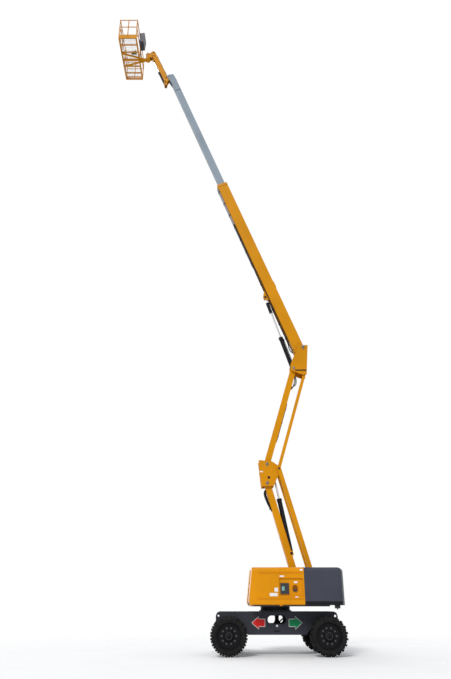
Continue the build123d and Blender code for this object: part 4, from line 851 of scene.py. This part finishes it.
def far_louvres():
    """Slatted vents in the far hood, beside the engine."""
    slats = bmesh.new()
    for x in (-0.3, 0.27):
        slab(slats, (x, -HOOD_Y - 0.0005, 1.83), (LOUVRE_LENGTH + 0.024, 0.007, 0.38))
        ends = (x - LOUVRE_LENGTH / 2 + 0.01, x + LOUVRE_LENGTH / 2 - 0.01)
        for k in range(9):
            z = 1.668 + LOUVRE_PITCH * k
            slat = [(z, 0), (z + 0.028, 0), (z + 0.006, 0.011), (z, 0.011)]
            loft(slats, [[(end, -HOOD_Y - 0.003 - out, height) for height, out in slat] for end in ends])
    finish(slats, "far_louvres", "far_hood", "black_plastic")


def weight_shade_band():
    """Black band painted as the shade at the counterweight's foot, drawn off its own outer wall."""
    # The black band stands in for the shade under the counterweight's lower bevel.
    shape = bmesh.new()
    shape.from_mesh(nodes["counterweight"].data)
    whole = shape.verts[:] + shape.edges[:] + shape.faces[:]
    bmesh.ops.bisect_plane(shape, geom=whole, plane_co=(0, 0, BAND_TOP), plane_no=UP, clear_outer=True)
    middle_x, flank_y, tail_x = -1.25, 1.15, -1.7
    inner = []
    for face in shape.faces:
        spot = face.calc_center_median()
        away = Vector((spot.x - middle_x, spot.y, 0))
        outside = abs(spot.y) > flank_y or spot.x < tail_x
        if abs(face.normal.z) > 0.3 or face.normal.dot(away) < 0 or not outside:
            inner.append(face)
    bmesh.ops.delete(shape, geom=inner, context="FACES")
    bmesh.ops.remove_doubles(shape, verts=shape.verts, dist=0.0005)
    shape.normal_update()
    shifts = {vert: vert.normal.copy() for vert in shape.verts}
    grown = bmesh.ops.extrude_face_region(shape, geom=shape.faces[:])
    for item in grown["geom"]:
        if isinstance(item, bmesh.types.BMVert):
            nearest = min(shifts, key=lambda vert: (vert.co - item.co).length_squared)
            item.co += Vector((shifts[nearest].x, shifts[nearest].y, 0)).normalized() * BAND_GROW
            item.co.z = min(max(item.co.z, WEIGHT_LOW + 0.0005), BAND_TOP)
    finish(shape, "weight_shade_band", "turret")


def tail_socket():
    """Power socket under the tail."""
    socket = bmesh.new()
    slab(socket, (SOCKET_X, 1.04, 1.281), (0.14, 0.16, 0.098), 0.012)
    slab(socket, (SOCKET_X, 1.124, 1.279), (0.116, 0.02, 0.066), 0.008)
    inlet = place_at((SOCKET_X, 1.04, 1.234), (0, 0, -1))
    turned(socket, [(0.016, 0), (0.016, 0.03), (0.011, 0.034)], inlet, 20)
    finish(socket, "tail_socket", "turret", "black_plastic")


def deck_details():
    """Screws of the deck, the swivel with its hoses over the slew axis, and the caps of the riser's pins."""
    screw_rows("deck_screws", "turret", [
        ((-0.7, 0.43, DECK_TOP), (0.62, 0.43, DECK_TOP), 8, UP, 0.01),
        ((-1.05, MAST_FACE, 1.42), (-0.6, MAST_FACE, 1.42), 4, OUT, 0.01),
    ])
    pin_caps("mast", "turret", [(BASE, MAST_FACE, 0.04, 0.016), (TIE_BASE, MAST_FACE, 0.03, 0.016)])
    deck = place_at((0, 0, DECK_TOP))
    swivel = bmesh.new()
    turned(swivel, [(0.17, 0), (0.17, 0.006), (0.166, 0.008), (0.118, 0.008), (0.114, 0.025), (0.106, 0.029),
                    (0.03, 0.029)], deck, 56)
    bolt_circle(swivel, deck, 8, 0.143, 0.008, 0.007, 0.5)
    finish(swivel, "deck_swivel", "turret")
    line = [(-0.085, 1, 0.016), (-0.2, 1.25, 0.014), (-0.34, 1.5, 0.014), (-0.5, 1.3, 0.014)]
    hoses("deck_hoses", "turret", fan(line, spread(3, 0.045)), 0.013, deck)


# Risers

PLATE_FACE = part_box("top_upright")[1].y
TIE_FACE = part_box("knee")[1].y
RISER_FOOT = (1.27, 0.13, 0.095)


def riser_hoses():
    """Hoses clamped along the risers."""
    line = [(2.66, -0.098, 0), (2.76, -0.118, -0.3), (2.9, -0.128, -1), (3.05, -0.138, -1.3),
            (3.18, -0.142, -1.4), (3.29, -0.132, -1), (3.34, -0.108, 0)]
    hoses("lower_riser_hoses", "lower_riser", bank(line, 0.046, (0, 0.032, 0, 0.032)), 0.019, LOWER_ARM)
    spots = [(x, 0, -0.1) for x in (2.75, 3.315)]
    clamps("lower_riser_clamps", "lower_riser", spots, -1, (0.045, 0.23, 0.056), LOWER_ARM)
    line = [(2.8, 0.094, 0), (2.87, 0.118, 0.4), (2.97, 0.14, 1.6), (3.09, 0.15, 1.5), (3.22, 0.132, 1),
            (3.32, 0.092, 0)]
    hoses("upper_riser_hoses", "upper_riser", bank(line, 0.044, (0, 0.016, 0.032, 0.048)), 0.0095, UPPER_ARM)
    clamps("upper_riser_clamps", "upper_riser", [(2.86, 0, 0.102)], 1, (0.04, 0.2, 0.046), UPPER_ARM)
    line = [(0.84, 1, 0.096), (0.93, 1, 0.112), (1.55, 1, 0.112), (2.17, 1, 0.112), (2.26, 1, 0.096)]
    hoses("upper_riser_lines", "upper_riser", fan(line, spread(3, 0.032)), 0.011, UPPER_ARM)
    spots = [(x, 0, 0.099) for x in (1.05, 1.55, 2.05)]
    clamps("upper_riser_line_clamps", "upper_riser", spots, 1, (0.036, 0.13, 0.026), UPPER_ARM)


def riser_fittings():
    """Pin caps of the knee and the upright, their plates, black discs painted as the shade in the knee's holes,
    and a black strip painted as the shade under the step of the upright's plate.
    """
    knee_pins = [(point, PLATE_FACE, 0.04, 0.018) for point in (KNEE_LOW, KNEE_HIGH)]
    pin_caps("knee_pins", "knee", knee_pins, "rod_chrome", PIN_STEEL)
    pin_caps("knee_tie_pins", "knee", [(KNEE_TIE, TIE_FACE, 0.026, 0.008)])
    upright_pins = [(TOP, PLATE_FACE, 0.036, 0.009), (BOOM, PLATE_FACE, 0.045, 0.026)]
    pin_caps("upright_pins", "top_upright", upright_pins, "rod_chrome", PIN_STEEL)
    plates = bmesh.new()
    side_slabs(plates, (0.33, PLATE_FACE + 0.001, 5.299), (0.11, 0.0024, 0.038), 0.0008)
    finish(plates, "knee_plates", "knee", "paint_yellow", WHITE_PLATE)
    # Black discs painted as the shade inside the knee's holes.
    hole = [(0.044, 0), (0.044, 0.004), (0.036, 0.006), (0.03, 0.002), (0.01, 0.001)]
    side_caps("knee_hole_shades", "knee", (0.09, PLATE_FACE - 0.0005, 5.112), hole)
    # A black strip on each side of the upright, painted as the shade below the step in its plate.
    band = bmesh.new()
    side_slabs(band, (-1.1365, PLATE_FACE + 0.00165, 8.842), (0.403, 0.0043, 0.048), 0.0015)
    finish(band, "upright_shade_strip", "top_upright")
    cap = [(0.042, 0), (0.042, 0.006), (0.03, 0.006), (0.028, 0.012)]
    side_caps("riser_foot_caps", "lower_riser", RISER_FOOT, cap, place=LOWER_ARM)


# Boom

BOOM_HALF = 0.15
BOOM_ROOF = 0.05
BOOM_BELLY = -0.35
BOOM_REAR = -0.06
BOOM_EYE = (2.4, 0.0655, -0.457)
MOUTH_X = 7.761
MOUTH_LENGTH = 0.122
PAD = 0.013
PAD_RISE = 0.012
TRAY_CHANGE = 5.85
TRAY_DEPTH = 0.064
STRAP_COUNT = 7
STRAP_FIRST = 3.92
STRAP_PITCH = 0.6
GLAND_END = 1.327


def boom_collar():
    """Wear-pad plates at the boom's mouth, its rear cover, the box on its back, and the screws."""
    middle = (BOOM_ROOF + BOOM_BELLY) / 2
    sink = PAD_RISE - PAD / 2
    collar = bmesh.new()
    side_slabs(collar, (MOUTH_X, BOOM_HALF + sink, middle), (MOUTH_LENGTH, PAD, 0.36), 0.004, BOOM_ARM)
    for z in (BOOM_ROOF + sink, BOOM_BELLY - sink):
        slab(collar, (MOUTH_X, 0, z), (MOUTH_LENGTH, 0.26, PAD), 0.004, BOOM_ARM)
    slab(collar, (BOOM_REAR - 0.0045, 0, middle), (0.011, 0.24, 0.34), 0.004, BOOM_ARM)
    finish(collar, "boom_collar", "boom", "paint_yellow")
    box = bmesh.new()
    outline = [(2.6, 0.049), (2.94, 0.049), (2.915, 0.082), (2.86, 0.092), (2.68, 0.092), (2.625, 0.082)]
    side_plate(box, outline, -0.085, 0.085, 0.006, BOOM_ARM)
    finish(box, "boom_back_box", "boom", "paint_yellow")
    face, roof, rear = BOOM_HALF + PAD_RISE, BOOM_ROOF + PAD_RISE, BOOM_REAR - 0.01
    rows = [((7.73, face, z), (7.792, face, z), 2, OUT, 0.008) for z in (-0.27, -0.15, -0.03)]
    rows.append(((7.76, 0.09, roof), (7.76, 0.03, roof), 2, UP, 0.008))
    rows.append(((rear, 0.095, -0.29), (rear, 0.095, -0.01), 3, (-1, 0, 0), 0.007))
    screw_rows("boom_screws", "boom", rows, BOOM_ARM)


def boom_tray():
    """Two colours of the hose tray, and the straps that hold it."""
    along = BOOM_ARM.col[0].to_3d()
    change = BOOM.dot(along) + TRAY_CHANGE
    tray = two_tone("tray_paint", (0.013, 0.012, 0.015), (0.3, 0.285, 0.305), along, change)
    nodes["hose_tray"].data.materials[0] = tray
    half = [(0.092, -0.349), (0.092, -0.352), (0.07, -0.358), (0.068, BOOM_BELLY - TRAY_DEPTH)]
    outline = half + [(-y, z) for y, z in reversed(half)]
    down = BOOM_ARM.to_3x3() @ Vector((0, 0, -1))
    straps = bmesh.new()
    for k in range(STRAP_COUNT):
        x = STRAP_FIRST + STRAP_PITCH * k
        loft(straps, [[(end, y, z) for y, z in outline] for end in (x - 0.02, x + 0.02)], BOOM_ARM)
        for y in (-0.081, 0.081):
            bolt(straps, place_at(BOOM_ARM @ Vector((x, y, BOOM_BELLY - 0.004)), down), 0.005)
    finish(straps, "tray_straps", "boom")


def boom_hoses():
    """Hoses along the boom's belly into the tray, their clamps, and the caps of the cylinder's eye."""
    line = [(0.02, 1, -0.338), (0.06, 1, -0.376), (0.16, 1, -0.404), (0.28, 1, -0.398), (0.46, 1, -0.368),
            (1.2, 1, -0.366), (2.3, 1, -0.366), (3.3, 1, -0.366), (3.62, 0.7, -0.37), (3.86, 0.36, -0.378)]
    hoses("boom_hoses", "boom", fan(line, (-0.088, -0.118, 0.088, 0.118)), 0.0135, BOOM_ARM)
    spots = [(x, y, BOOM_BELLY) for x in (0.62, 1.25, 1.88, 3.05) for y in (-0.103, 0.103)]
    clamps("boom_clamps", "boom", spots, -1, (0.045, 0.08, 0.034), BOOM_ARM)
    cap = [(0.046, 0), (0.046, 0.006), (0.034, 0.007), (0.032, 0.014)]
    side_caps("boom_eye_caps", "boom", BOOM_EYE, cap, 32, BOOM_ARM)


def boom_cylinder_details():
    """Feed pipe, ports and gland screws of the boom cylinder, and the dark sleeve on its rod."""
    fittings = bmesh.new()
    slab(fittings, (0.165, 0, 0.081), (0.07, 0.044, 0.038), 0.005, BOOM_CYLINDER)
    slab(fittings, (1.2075, 0, 0.082), (0.055, 0.044, 0.04), 0.005, BOOM_CYLINDER)
    pipe = [(0.19, 0, 0.088), (0.45, 0, 0.089), (0.8, 0, 0.089), (1.19, 0, 0.088)]
    hose(fittings, pipe, 0.01, BOOM_CYLINDER)
    along = BOOM_CYLINDER @ place_at((0, 0, 0), (1, 0, 0))
    ring_of(fittings, [(0.079, 1.24), (0.083, 1.244), (0.083, 1.262), (0.079, 1.266)], along)
    finish(fittings, "boom_cylinder_pipe", "boom_barrel")
    screws = bmesh.new()
    bolt_circle(screws, along, 8, 0.062, GLAND_END, 0.006)
    finish(screws, "boom_gland_screws", "boom_barrel", "rod_chrome", BOLT_STEEL)
    sleeve = bmesh.new()
    ring_of(sleeve, [(0.0545, 2.345), (0.0585, 2.349), (0.0585, 2.79), (0.0545, 2.796)], along)
    ring_of(sleeve, [(0.056, 2.349), (0.0635, 2.353), (0.0635, 2.376), (0.056, 2.38)], along)
    finish(sleeve, "boom_rod_sleeve", "boom_rod")


# Jib

HEAD_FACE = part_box("boom_head")[1].y
LINK_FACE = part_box("jib_base")[1].y
JIB_PLATE_FACE = 0.095
JIB_EYE = (1.3, 0.0605, -0.166)


def jib_details():
    """Pin caps and screws of the boom's head and the jib, and the hoses along the jib."""
    nodes["jib_link"].data.materials[0] = MATERIALS["paint_yellow"]
    pin_caps("head_pins", "extension", [(HEAD, HEAD_FACE, 0.03, 0.014)], "paint_grey")
    rows = [((13.42, HEAD_FACE, z), (13.7, HEAD_FACE, z), 4, OUT, 0.009) for z in (-0.225, -0.075)]
    screw_rows("head_screws", "extension", rows, BOOM_ARM)
    base_pins = [(JIB_BASE, JIB_PLATE_FACE, 0.026, 0.007), (JIB_FOOT, JIB_PLATE_FACE, 0.018, 0.007)]
    pin_caps("jib_base_pins", "jib_base", base_pins)
    pin_caps("jib_top_pins", "platform_support", [(JIB_TOP, JIB_PLATE_FACE, 0.026, 0.007)])
    cap = [(0.024, 0), (0.024, 0.004), (0.017, 0.005), (0.015, 0.009)]
    side_caps("link_base_caps", "jib_base", (LINK_BASE.x, LINK_FACE, LINK_BASE.z), cap, 24)
    side_caps("link_top_caps", "platform_support", (LINK_TOP.x, LINK_FACE, LINK_TOP.z), cap, 24)
    line = [(0.06, 1, 0.076), (0.2, 1, 0.092), (0.8, 1, 0.092), (1.45, 1, 0.092), (1.6, 1, 0.078)]
    hoses("jib_hoses", "jib", fan(line, spread(3, 0.03)), 0.0105, JIB_ARM)
    spots = [(x, 0, 0.08) for x in (0.32, 0.84, 1.36)]
    clamps("jib_clamps", "jib", spots, 1, (0.036, 0.116, 0.026), JIB_ARM)
    cap = [(0.026, 0), (0.026, 0.004), (0.018, 0.005), (0.016, 0.01)]
    side_caps("jib_eye_caps", "jib", JIB_EYE, cap, 24, JIB_ARM)


# Basket

RAIL_RADIUS = 0.02
GRID_BORDER = 0.012
COLLAR_LEVELS = (0.245, 0.6, 0.7)
TOE_SCREW_Z = FLOOR.z + 0.15
ARM_SCREW_Z = FLOOR.z - 0.105
PANEL_Z = FLOOR.z + 1.1
PANEL_SLOPE = Vector((-0.198, 0, 0.04)).normalized()
PANEL_NORMAL = Vector((0.04, 0, 0.198)).normalized()
PANEL_LIFT = 0.004
PEDAL_SLOPE = 0.65
ROTATOR_FOOT = FLOOR.z - 0.05
ROTATOR_TOP = ROTATOR_FOOT + 0.331


def bars(shape, low, high, count, along, width, depth):
    """Thin bars across a rectangle, spaced along X or Y."""
    for k in range(count):
        centre = (low + high) / 2
        size = high - low
        centre[along] = low[along] + size[along] * (k + 0.5) / count
        centre.z = high.z - depth / 2
        size[along] = width
        size.z = depth
        block(shape, centre, size)


def basket_mesh():
    """Open grid in place of the plain floor sheet."""
    low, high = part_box("floor_mesh")
    middle = (low + high) / 2
    size = high - low
    inset = GRID_BORDER / 2
    shape = bmesh.new()
    bars(shape, low, high, 20, 0, 0.006, 0.004)
    bars(shape, low, high, 62, 1, 0.005, 0.0034)
    for y in (low.y + inset, high.y - inset):
        slab(shape, (middle.x, y, middle.z), (size.x, GRID_BORDER, size.z), 0.001)
    for x in (low.x + inset, high.x - inset):
        slab(shape, (x, middle.y, middle.z), (GRID_BORDER, size.y, size.z), 0.001)
    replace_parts(finish(shape, "floor_grid", "platform", "mesh_steel"), "floor_mesh")


def rail_collars():
    """Sleeves where rails meet posts, and screws of the toe boards and of the arms under the floor."""
    low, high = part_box("basket_floor")
    inner, outer = low.x + RAIL_RADIUS, high.x - RAIL_RADIUS
    middle = (low.x + high.x) / 2
    end = high.y - RAIL_RADIUS
    posts = [(inner, 0)] + [(x, y) for x in (inner, middle, outer) for y in (-end, end)]
    loop = [(0.0195, -0.03), (0.0235, -0.027), (0.0235, 0.027), (0.0195, 0.03)]
    shape = bmesh.new()
    for x, y in posts:
        for level in COLLAR_LEVELS:
            ring_of(shape, loop, place_at((x, y, FLOOR.z + level)), 20)
    finish(shape, "rail_collars", "platform", "paint_yellow")
    screws = bmesh.new()
    for side in SIDES:
        for k in range(4):
            bolt(screws, on_side(side, low.x + 0.12 + 0.16 * k, end + 0.002, TOE_SCREW_Z), 0.005)
    for y in spread(9, 0.23):
        bolt(screws, place_at((inner - 0.002, y, TOE_SCREW_Z), (-1, 0, 0)), 0.005)
    for y in (-0.36, 0, 0.36):
        for x, share in ((outer - 0.045, 0.95), (outer - 0.005, 0.985)):
            bolt(screws, place_at((x, share * y, ARM_SCREW_Z), (0, 0, -1)), 0.008)
    finish(screws, "toe_screws", "platform", "rod_chrome", BOLT_STEEL)


def console_panel():
    """Panel, switches, joysticks and stop button of the basket's console."""
    low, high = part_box("console")
    panel = Matrix((PANEL_SLOPE, Vector((0, -1, 0)), PANEL_NORMAL)).transposed().to_4x4()
    panel.translation = (high.x, (low.y + high.y) / 2, PANEL_Z)
    top = panel @ Matrix.Translation((0, 0, PANEL_LIFT))
    plate = bmesh.new()
    slab(plate, (0.1015, 0, 0.0015), (0.167, 0.47, 0.005), 0.002, panel)
    switch = [(0.012, 0), (0.012, 0.004), (0.004, 0.006), (0.0045, 0.026), (0.003, 0.029)]
    for x in (0.06, 0.115):
        for y in (-0.19, -0.13, -0.07):
            turned(plate, switch, top @ Matrix.Translation((x, y, 0)), 16)
    finish(plate, "console_panel", "platform", "black_plastic")
    stick = [(0.036, 0), (0.03, 0.01), (0.02, 0.024), (0.009, 0.034), (0.009, 0.062), (0.017, 0.072),
             (0.019, 0.11), (0.012, 0.122)]
    sticks = bmesh.new()
    for y in (0.04, 0.13):
        turned(sticks, stick, top @ Matrix.Translation((0.1, y, 0)), 24)
    finish(sticks, "console_joysticks", "platform", "black_plastic")
    button = [(0.014, 0), (0.014, 0.01), (0.022, 0.013), (0.022, 0.021), (0.014, 0.026)]
    stop = bmesh.new()
    turned(stop, button, top @ Matrix.Translation((0.1, 0.2, 0)), 24)
    finish(stop, "console_stop", "platform", "black_plastic", STOP_RED)


def console_fixing():
    """Brackets of the console, and its cable down the rail."""
    low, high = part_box("console")
    brackets = bmesh.new()
    for y in (low.y + 0.06, high.y - 0.06):
        slab(brackets, (high.x - 0.003, y, FLOOR.z + 0.651), (0.018, 0.04, 0.042))
        for x, z in ((0.0205, 0.8), (0.0105, 0.95)):
            bolt(brackets, place_at((low.x + x, y, FLOOR.z + z), (-1, 0, 0)), 0.006)
    finish(brackets, "console_brackets", "platform")
    down = [(0.056, 0.1, 0.582), (0.052, 0.1, 0.48), (0.024, 0.045, 0.38), (0.022, 0.036, 0.2),
            (0.026, 0.036, 0.02), (0.086, 0.026, -0.034)]
    cable = [(high.x - back, y, FLOOR.z + z) for back, y, z in down]
    cable.append((FLOOR.x + 0.15, 0, FLOOR.z - 0.038))
    hoses("console_cable", "platform", [cable], 0.01)


def gate_latch():
    """Latch of the gate, with its lever."""
    low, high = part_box("gate")
    x = (low.x + high.x) / 2
    latch = bmesh.new()
    slab(latch, (x - 0.002, high.y - 0.034, FLOOR.z + 0.745), (0.048, 0.064, 0.09), 0.006)
    slab(latch, (x - 0.035, high.y - 0.037, FLOOR.z + 0.746), (0.03, 0.026, 0.022), 0.005)
    finish(latch, "gate_latch", "gate")


def pedal_guard():
    """Ribs and hoop of the foot pedal."""
    low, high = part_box("foot_pedal")
    size = high - low
    fall = PEDAL_SLOPE * size.z / size.x
    ribs = bmesh.new()
    for k in range(6):
        run = 0.03 + 0.032 * k
        spot = (low.x + run + 0.006, (low.y + high.y) / 2, high.z - fall * run - 0.002)
        slab(ribs, spot, (0.012, size.y - 0.024, 0.008), 0.002)
    rise = [(0.01, -0.01, 0.004), (0.02, -0.01, 0.1), (0.04, 0.02, 0.15)]
    hoop = [(low.x + x, low.y + y, low.z + z) for x, y, z in rise]
    hoop += [(low.x + x, high.y - y, low.z + z) for x, y, z in reversed(rise)]
    hose(ribs, hoop, 0.007)
    finish(ribs, "pedal_guard", "platform")


def rotator_details():
    """Flanges and screws of the basket's rotator."""
    foot = place_at((FLOOR.x, 0, ROTATOR_FOOT))
    shape = bmesh.new()
    ring_of(shape, [(0.094, 0.006), (0.104, 0.006), (0.106, 0.012), (0.106, 0.026), (0.094, 0.03)], foot)
    ring_of(shape, [(0.094, 0.262), (0.104, 0.266), (0.106, 0.272), (0.106, 0.286), (0.094, 0.29)], foot)
    finish(shape, "rotator_flanges", "platform_support", "paint_yellow")
    screws = bmesh.new()
    bolt_circle(screws, place_at((FLOOR.x, 0, ROTATOR_TOP)), 8, 0.06, 0, 0.006)
    finish(screws, "rotator_screws", "platform", "rod_chrome", BOLT_STEEL)


for corner, (sign, side) in CORNERS.items():
    tyre(corner, sign, side)
    rim_details(corner, sign, side)
    knuckle_details(corner, sign)
axle_details("front_axle", 1)
axle_details("rear_axle", -1)
direction_arrows()
window_lips()
chassis_hoses()
chassis_details()
slew_details()
hood_ribs("near_hood", 1)
hood_ribs("far_hood", -1)
hood_fittings()
hood_latch()
ground_controls()
far_louvres()
weight_shade_band()
tail_socket()
deck_details()
riser_hoses()
riser_fittings()
boom_collar()
boom_tray()
boom_hoses()
boom_cylinder_details()
jib_details()
basket_mesh()
rail_collars()
console_panel()
console_fixing()
gate_latch()
pedal_guard()
rotator_details()


# Floor, light and camera

FLOOR_HALF = 90
FADE = (3, 16)
SUNS = (("key", 1.75, 18, (52, 0, 158)), ("fill", 0.55, 60, (65, 0, 20)))
CAMERA_PLACE = (1.5, 19.81, 1.31)
CAMERA_TILT = 23.97
CAMERA_LENS = 31.72
CAMERA_SENSOR = 36


def stage_floor():
    """A pale disc that fades into the white surround."""
    corners = [(x * FLOOR_HALF, y * FLOOR_HALF, 0) for x, y in ((-1, -1), (1, -1), (1, 1), (-1, 1))]
    mesh = bpy.data.meshes.new("floor")
    mesh.from_pydata(corners, [], [(0, 1, 2, 3)])
    floor = bpy.data.objects.new("floor", mesh)
    scene.collection.objects.link(floor)
    look = Look("floor")
    dark, light = shades((1, 1, 1), 0.9, 0.93)
    mesh.materials.append(look.shade(look.ramp(look.noise(0.6), (0.3, dark), (0.7, light)), 0.9, {}))
    clear = look.add("BsdfTransparent", {})
    away = look.add("VectorMath", {0: look.coords}, "LENGTH").outputs["Value"]
    fade = look.add("MapRange", {"Value": away, "From Min": FADE[0], "From Max": FADE[1]})
    fade.interpolation_type = "SMOOTHSTEP"
    layers = {"Fac": fade.outputs["Result"], 1: look.shader.outputs["BSDF"], 2: clear.outputs["BSDF"]}
    join = look.add("MixShader", layers)
    feed(look.tree, look.tree.nodes["Material Output"], {"Surface": join.outputs["Shader"]})


def studio_light():
    """White surround wherever it is seen, softer light on the object, and two broad suns."""
    world = bpy.data.worlds.new("studio")
    scene.world = world
    world.use_nodes = True
    tree = world.node_tree
    tree.nodes.clear()
    rays = tree.nodes.new("ShaderNodeLightPath")
    seen = rays.outputs["Is Camera Ray"]
    for kind in ("Is Glossy Ray", "Is Transmission Ray"):
        seen = add_node(tree, "Math", {0: seen, 1: rays.outputs[kind]}, "MAXIMUM").outputs["Value"]
    ambient = add_node(tree, "Background", {"Color": (0.93, 0.96, 1, 1), "Strength": 0.62})
    white = add_node(tree, "Background", {"Color": (1, 1, 1, 1), "Strength": 1})
    layers = {"Fac": seen, 1: ambient.outputs["Background"], 2: white.outputs["Background"]}
    join = add_node(tree, "MixShader", layers)
    add_node(tree, "OutputWorld", {"Surface": join.outputs["Shader"]})
    for name, strength, width, turn in SUNS:
        lamp = bpy.data.lights.new(name, "SUN")
        lamp.energy = strength
        lamp.angle = radians(width)
        holder = bpy.data.objects.new(name, lamp)
        holder.rotation_euler = [radians(part) for part in turn]
        scene.collection.objects.link(holder)


def photo_camera():
    """The camera that was fitted to the photo, beside the machine and tilted up."""
    camera = bpy.data.cameras.new("camera")
    camera.sensor_width = CAMERA_SENSOR
    camera.lens = CAMERA_LENS
    camera.clip_end = 500
    camera.dof.use_dof = False
    holder = bpy.data.objects.new("camera", camera)
    holder.location = CAMERA_PLACE
    holder.rotation_euler = (radians(90 + CAMERA_TILT), 0, radians(180))
    scene.collection.objects.link(holder)
    scene.camera = holder


stage_floor()
studio_light()
photo_camera()
scene.view_settings.view_transform = "Standard"
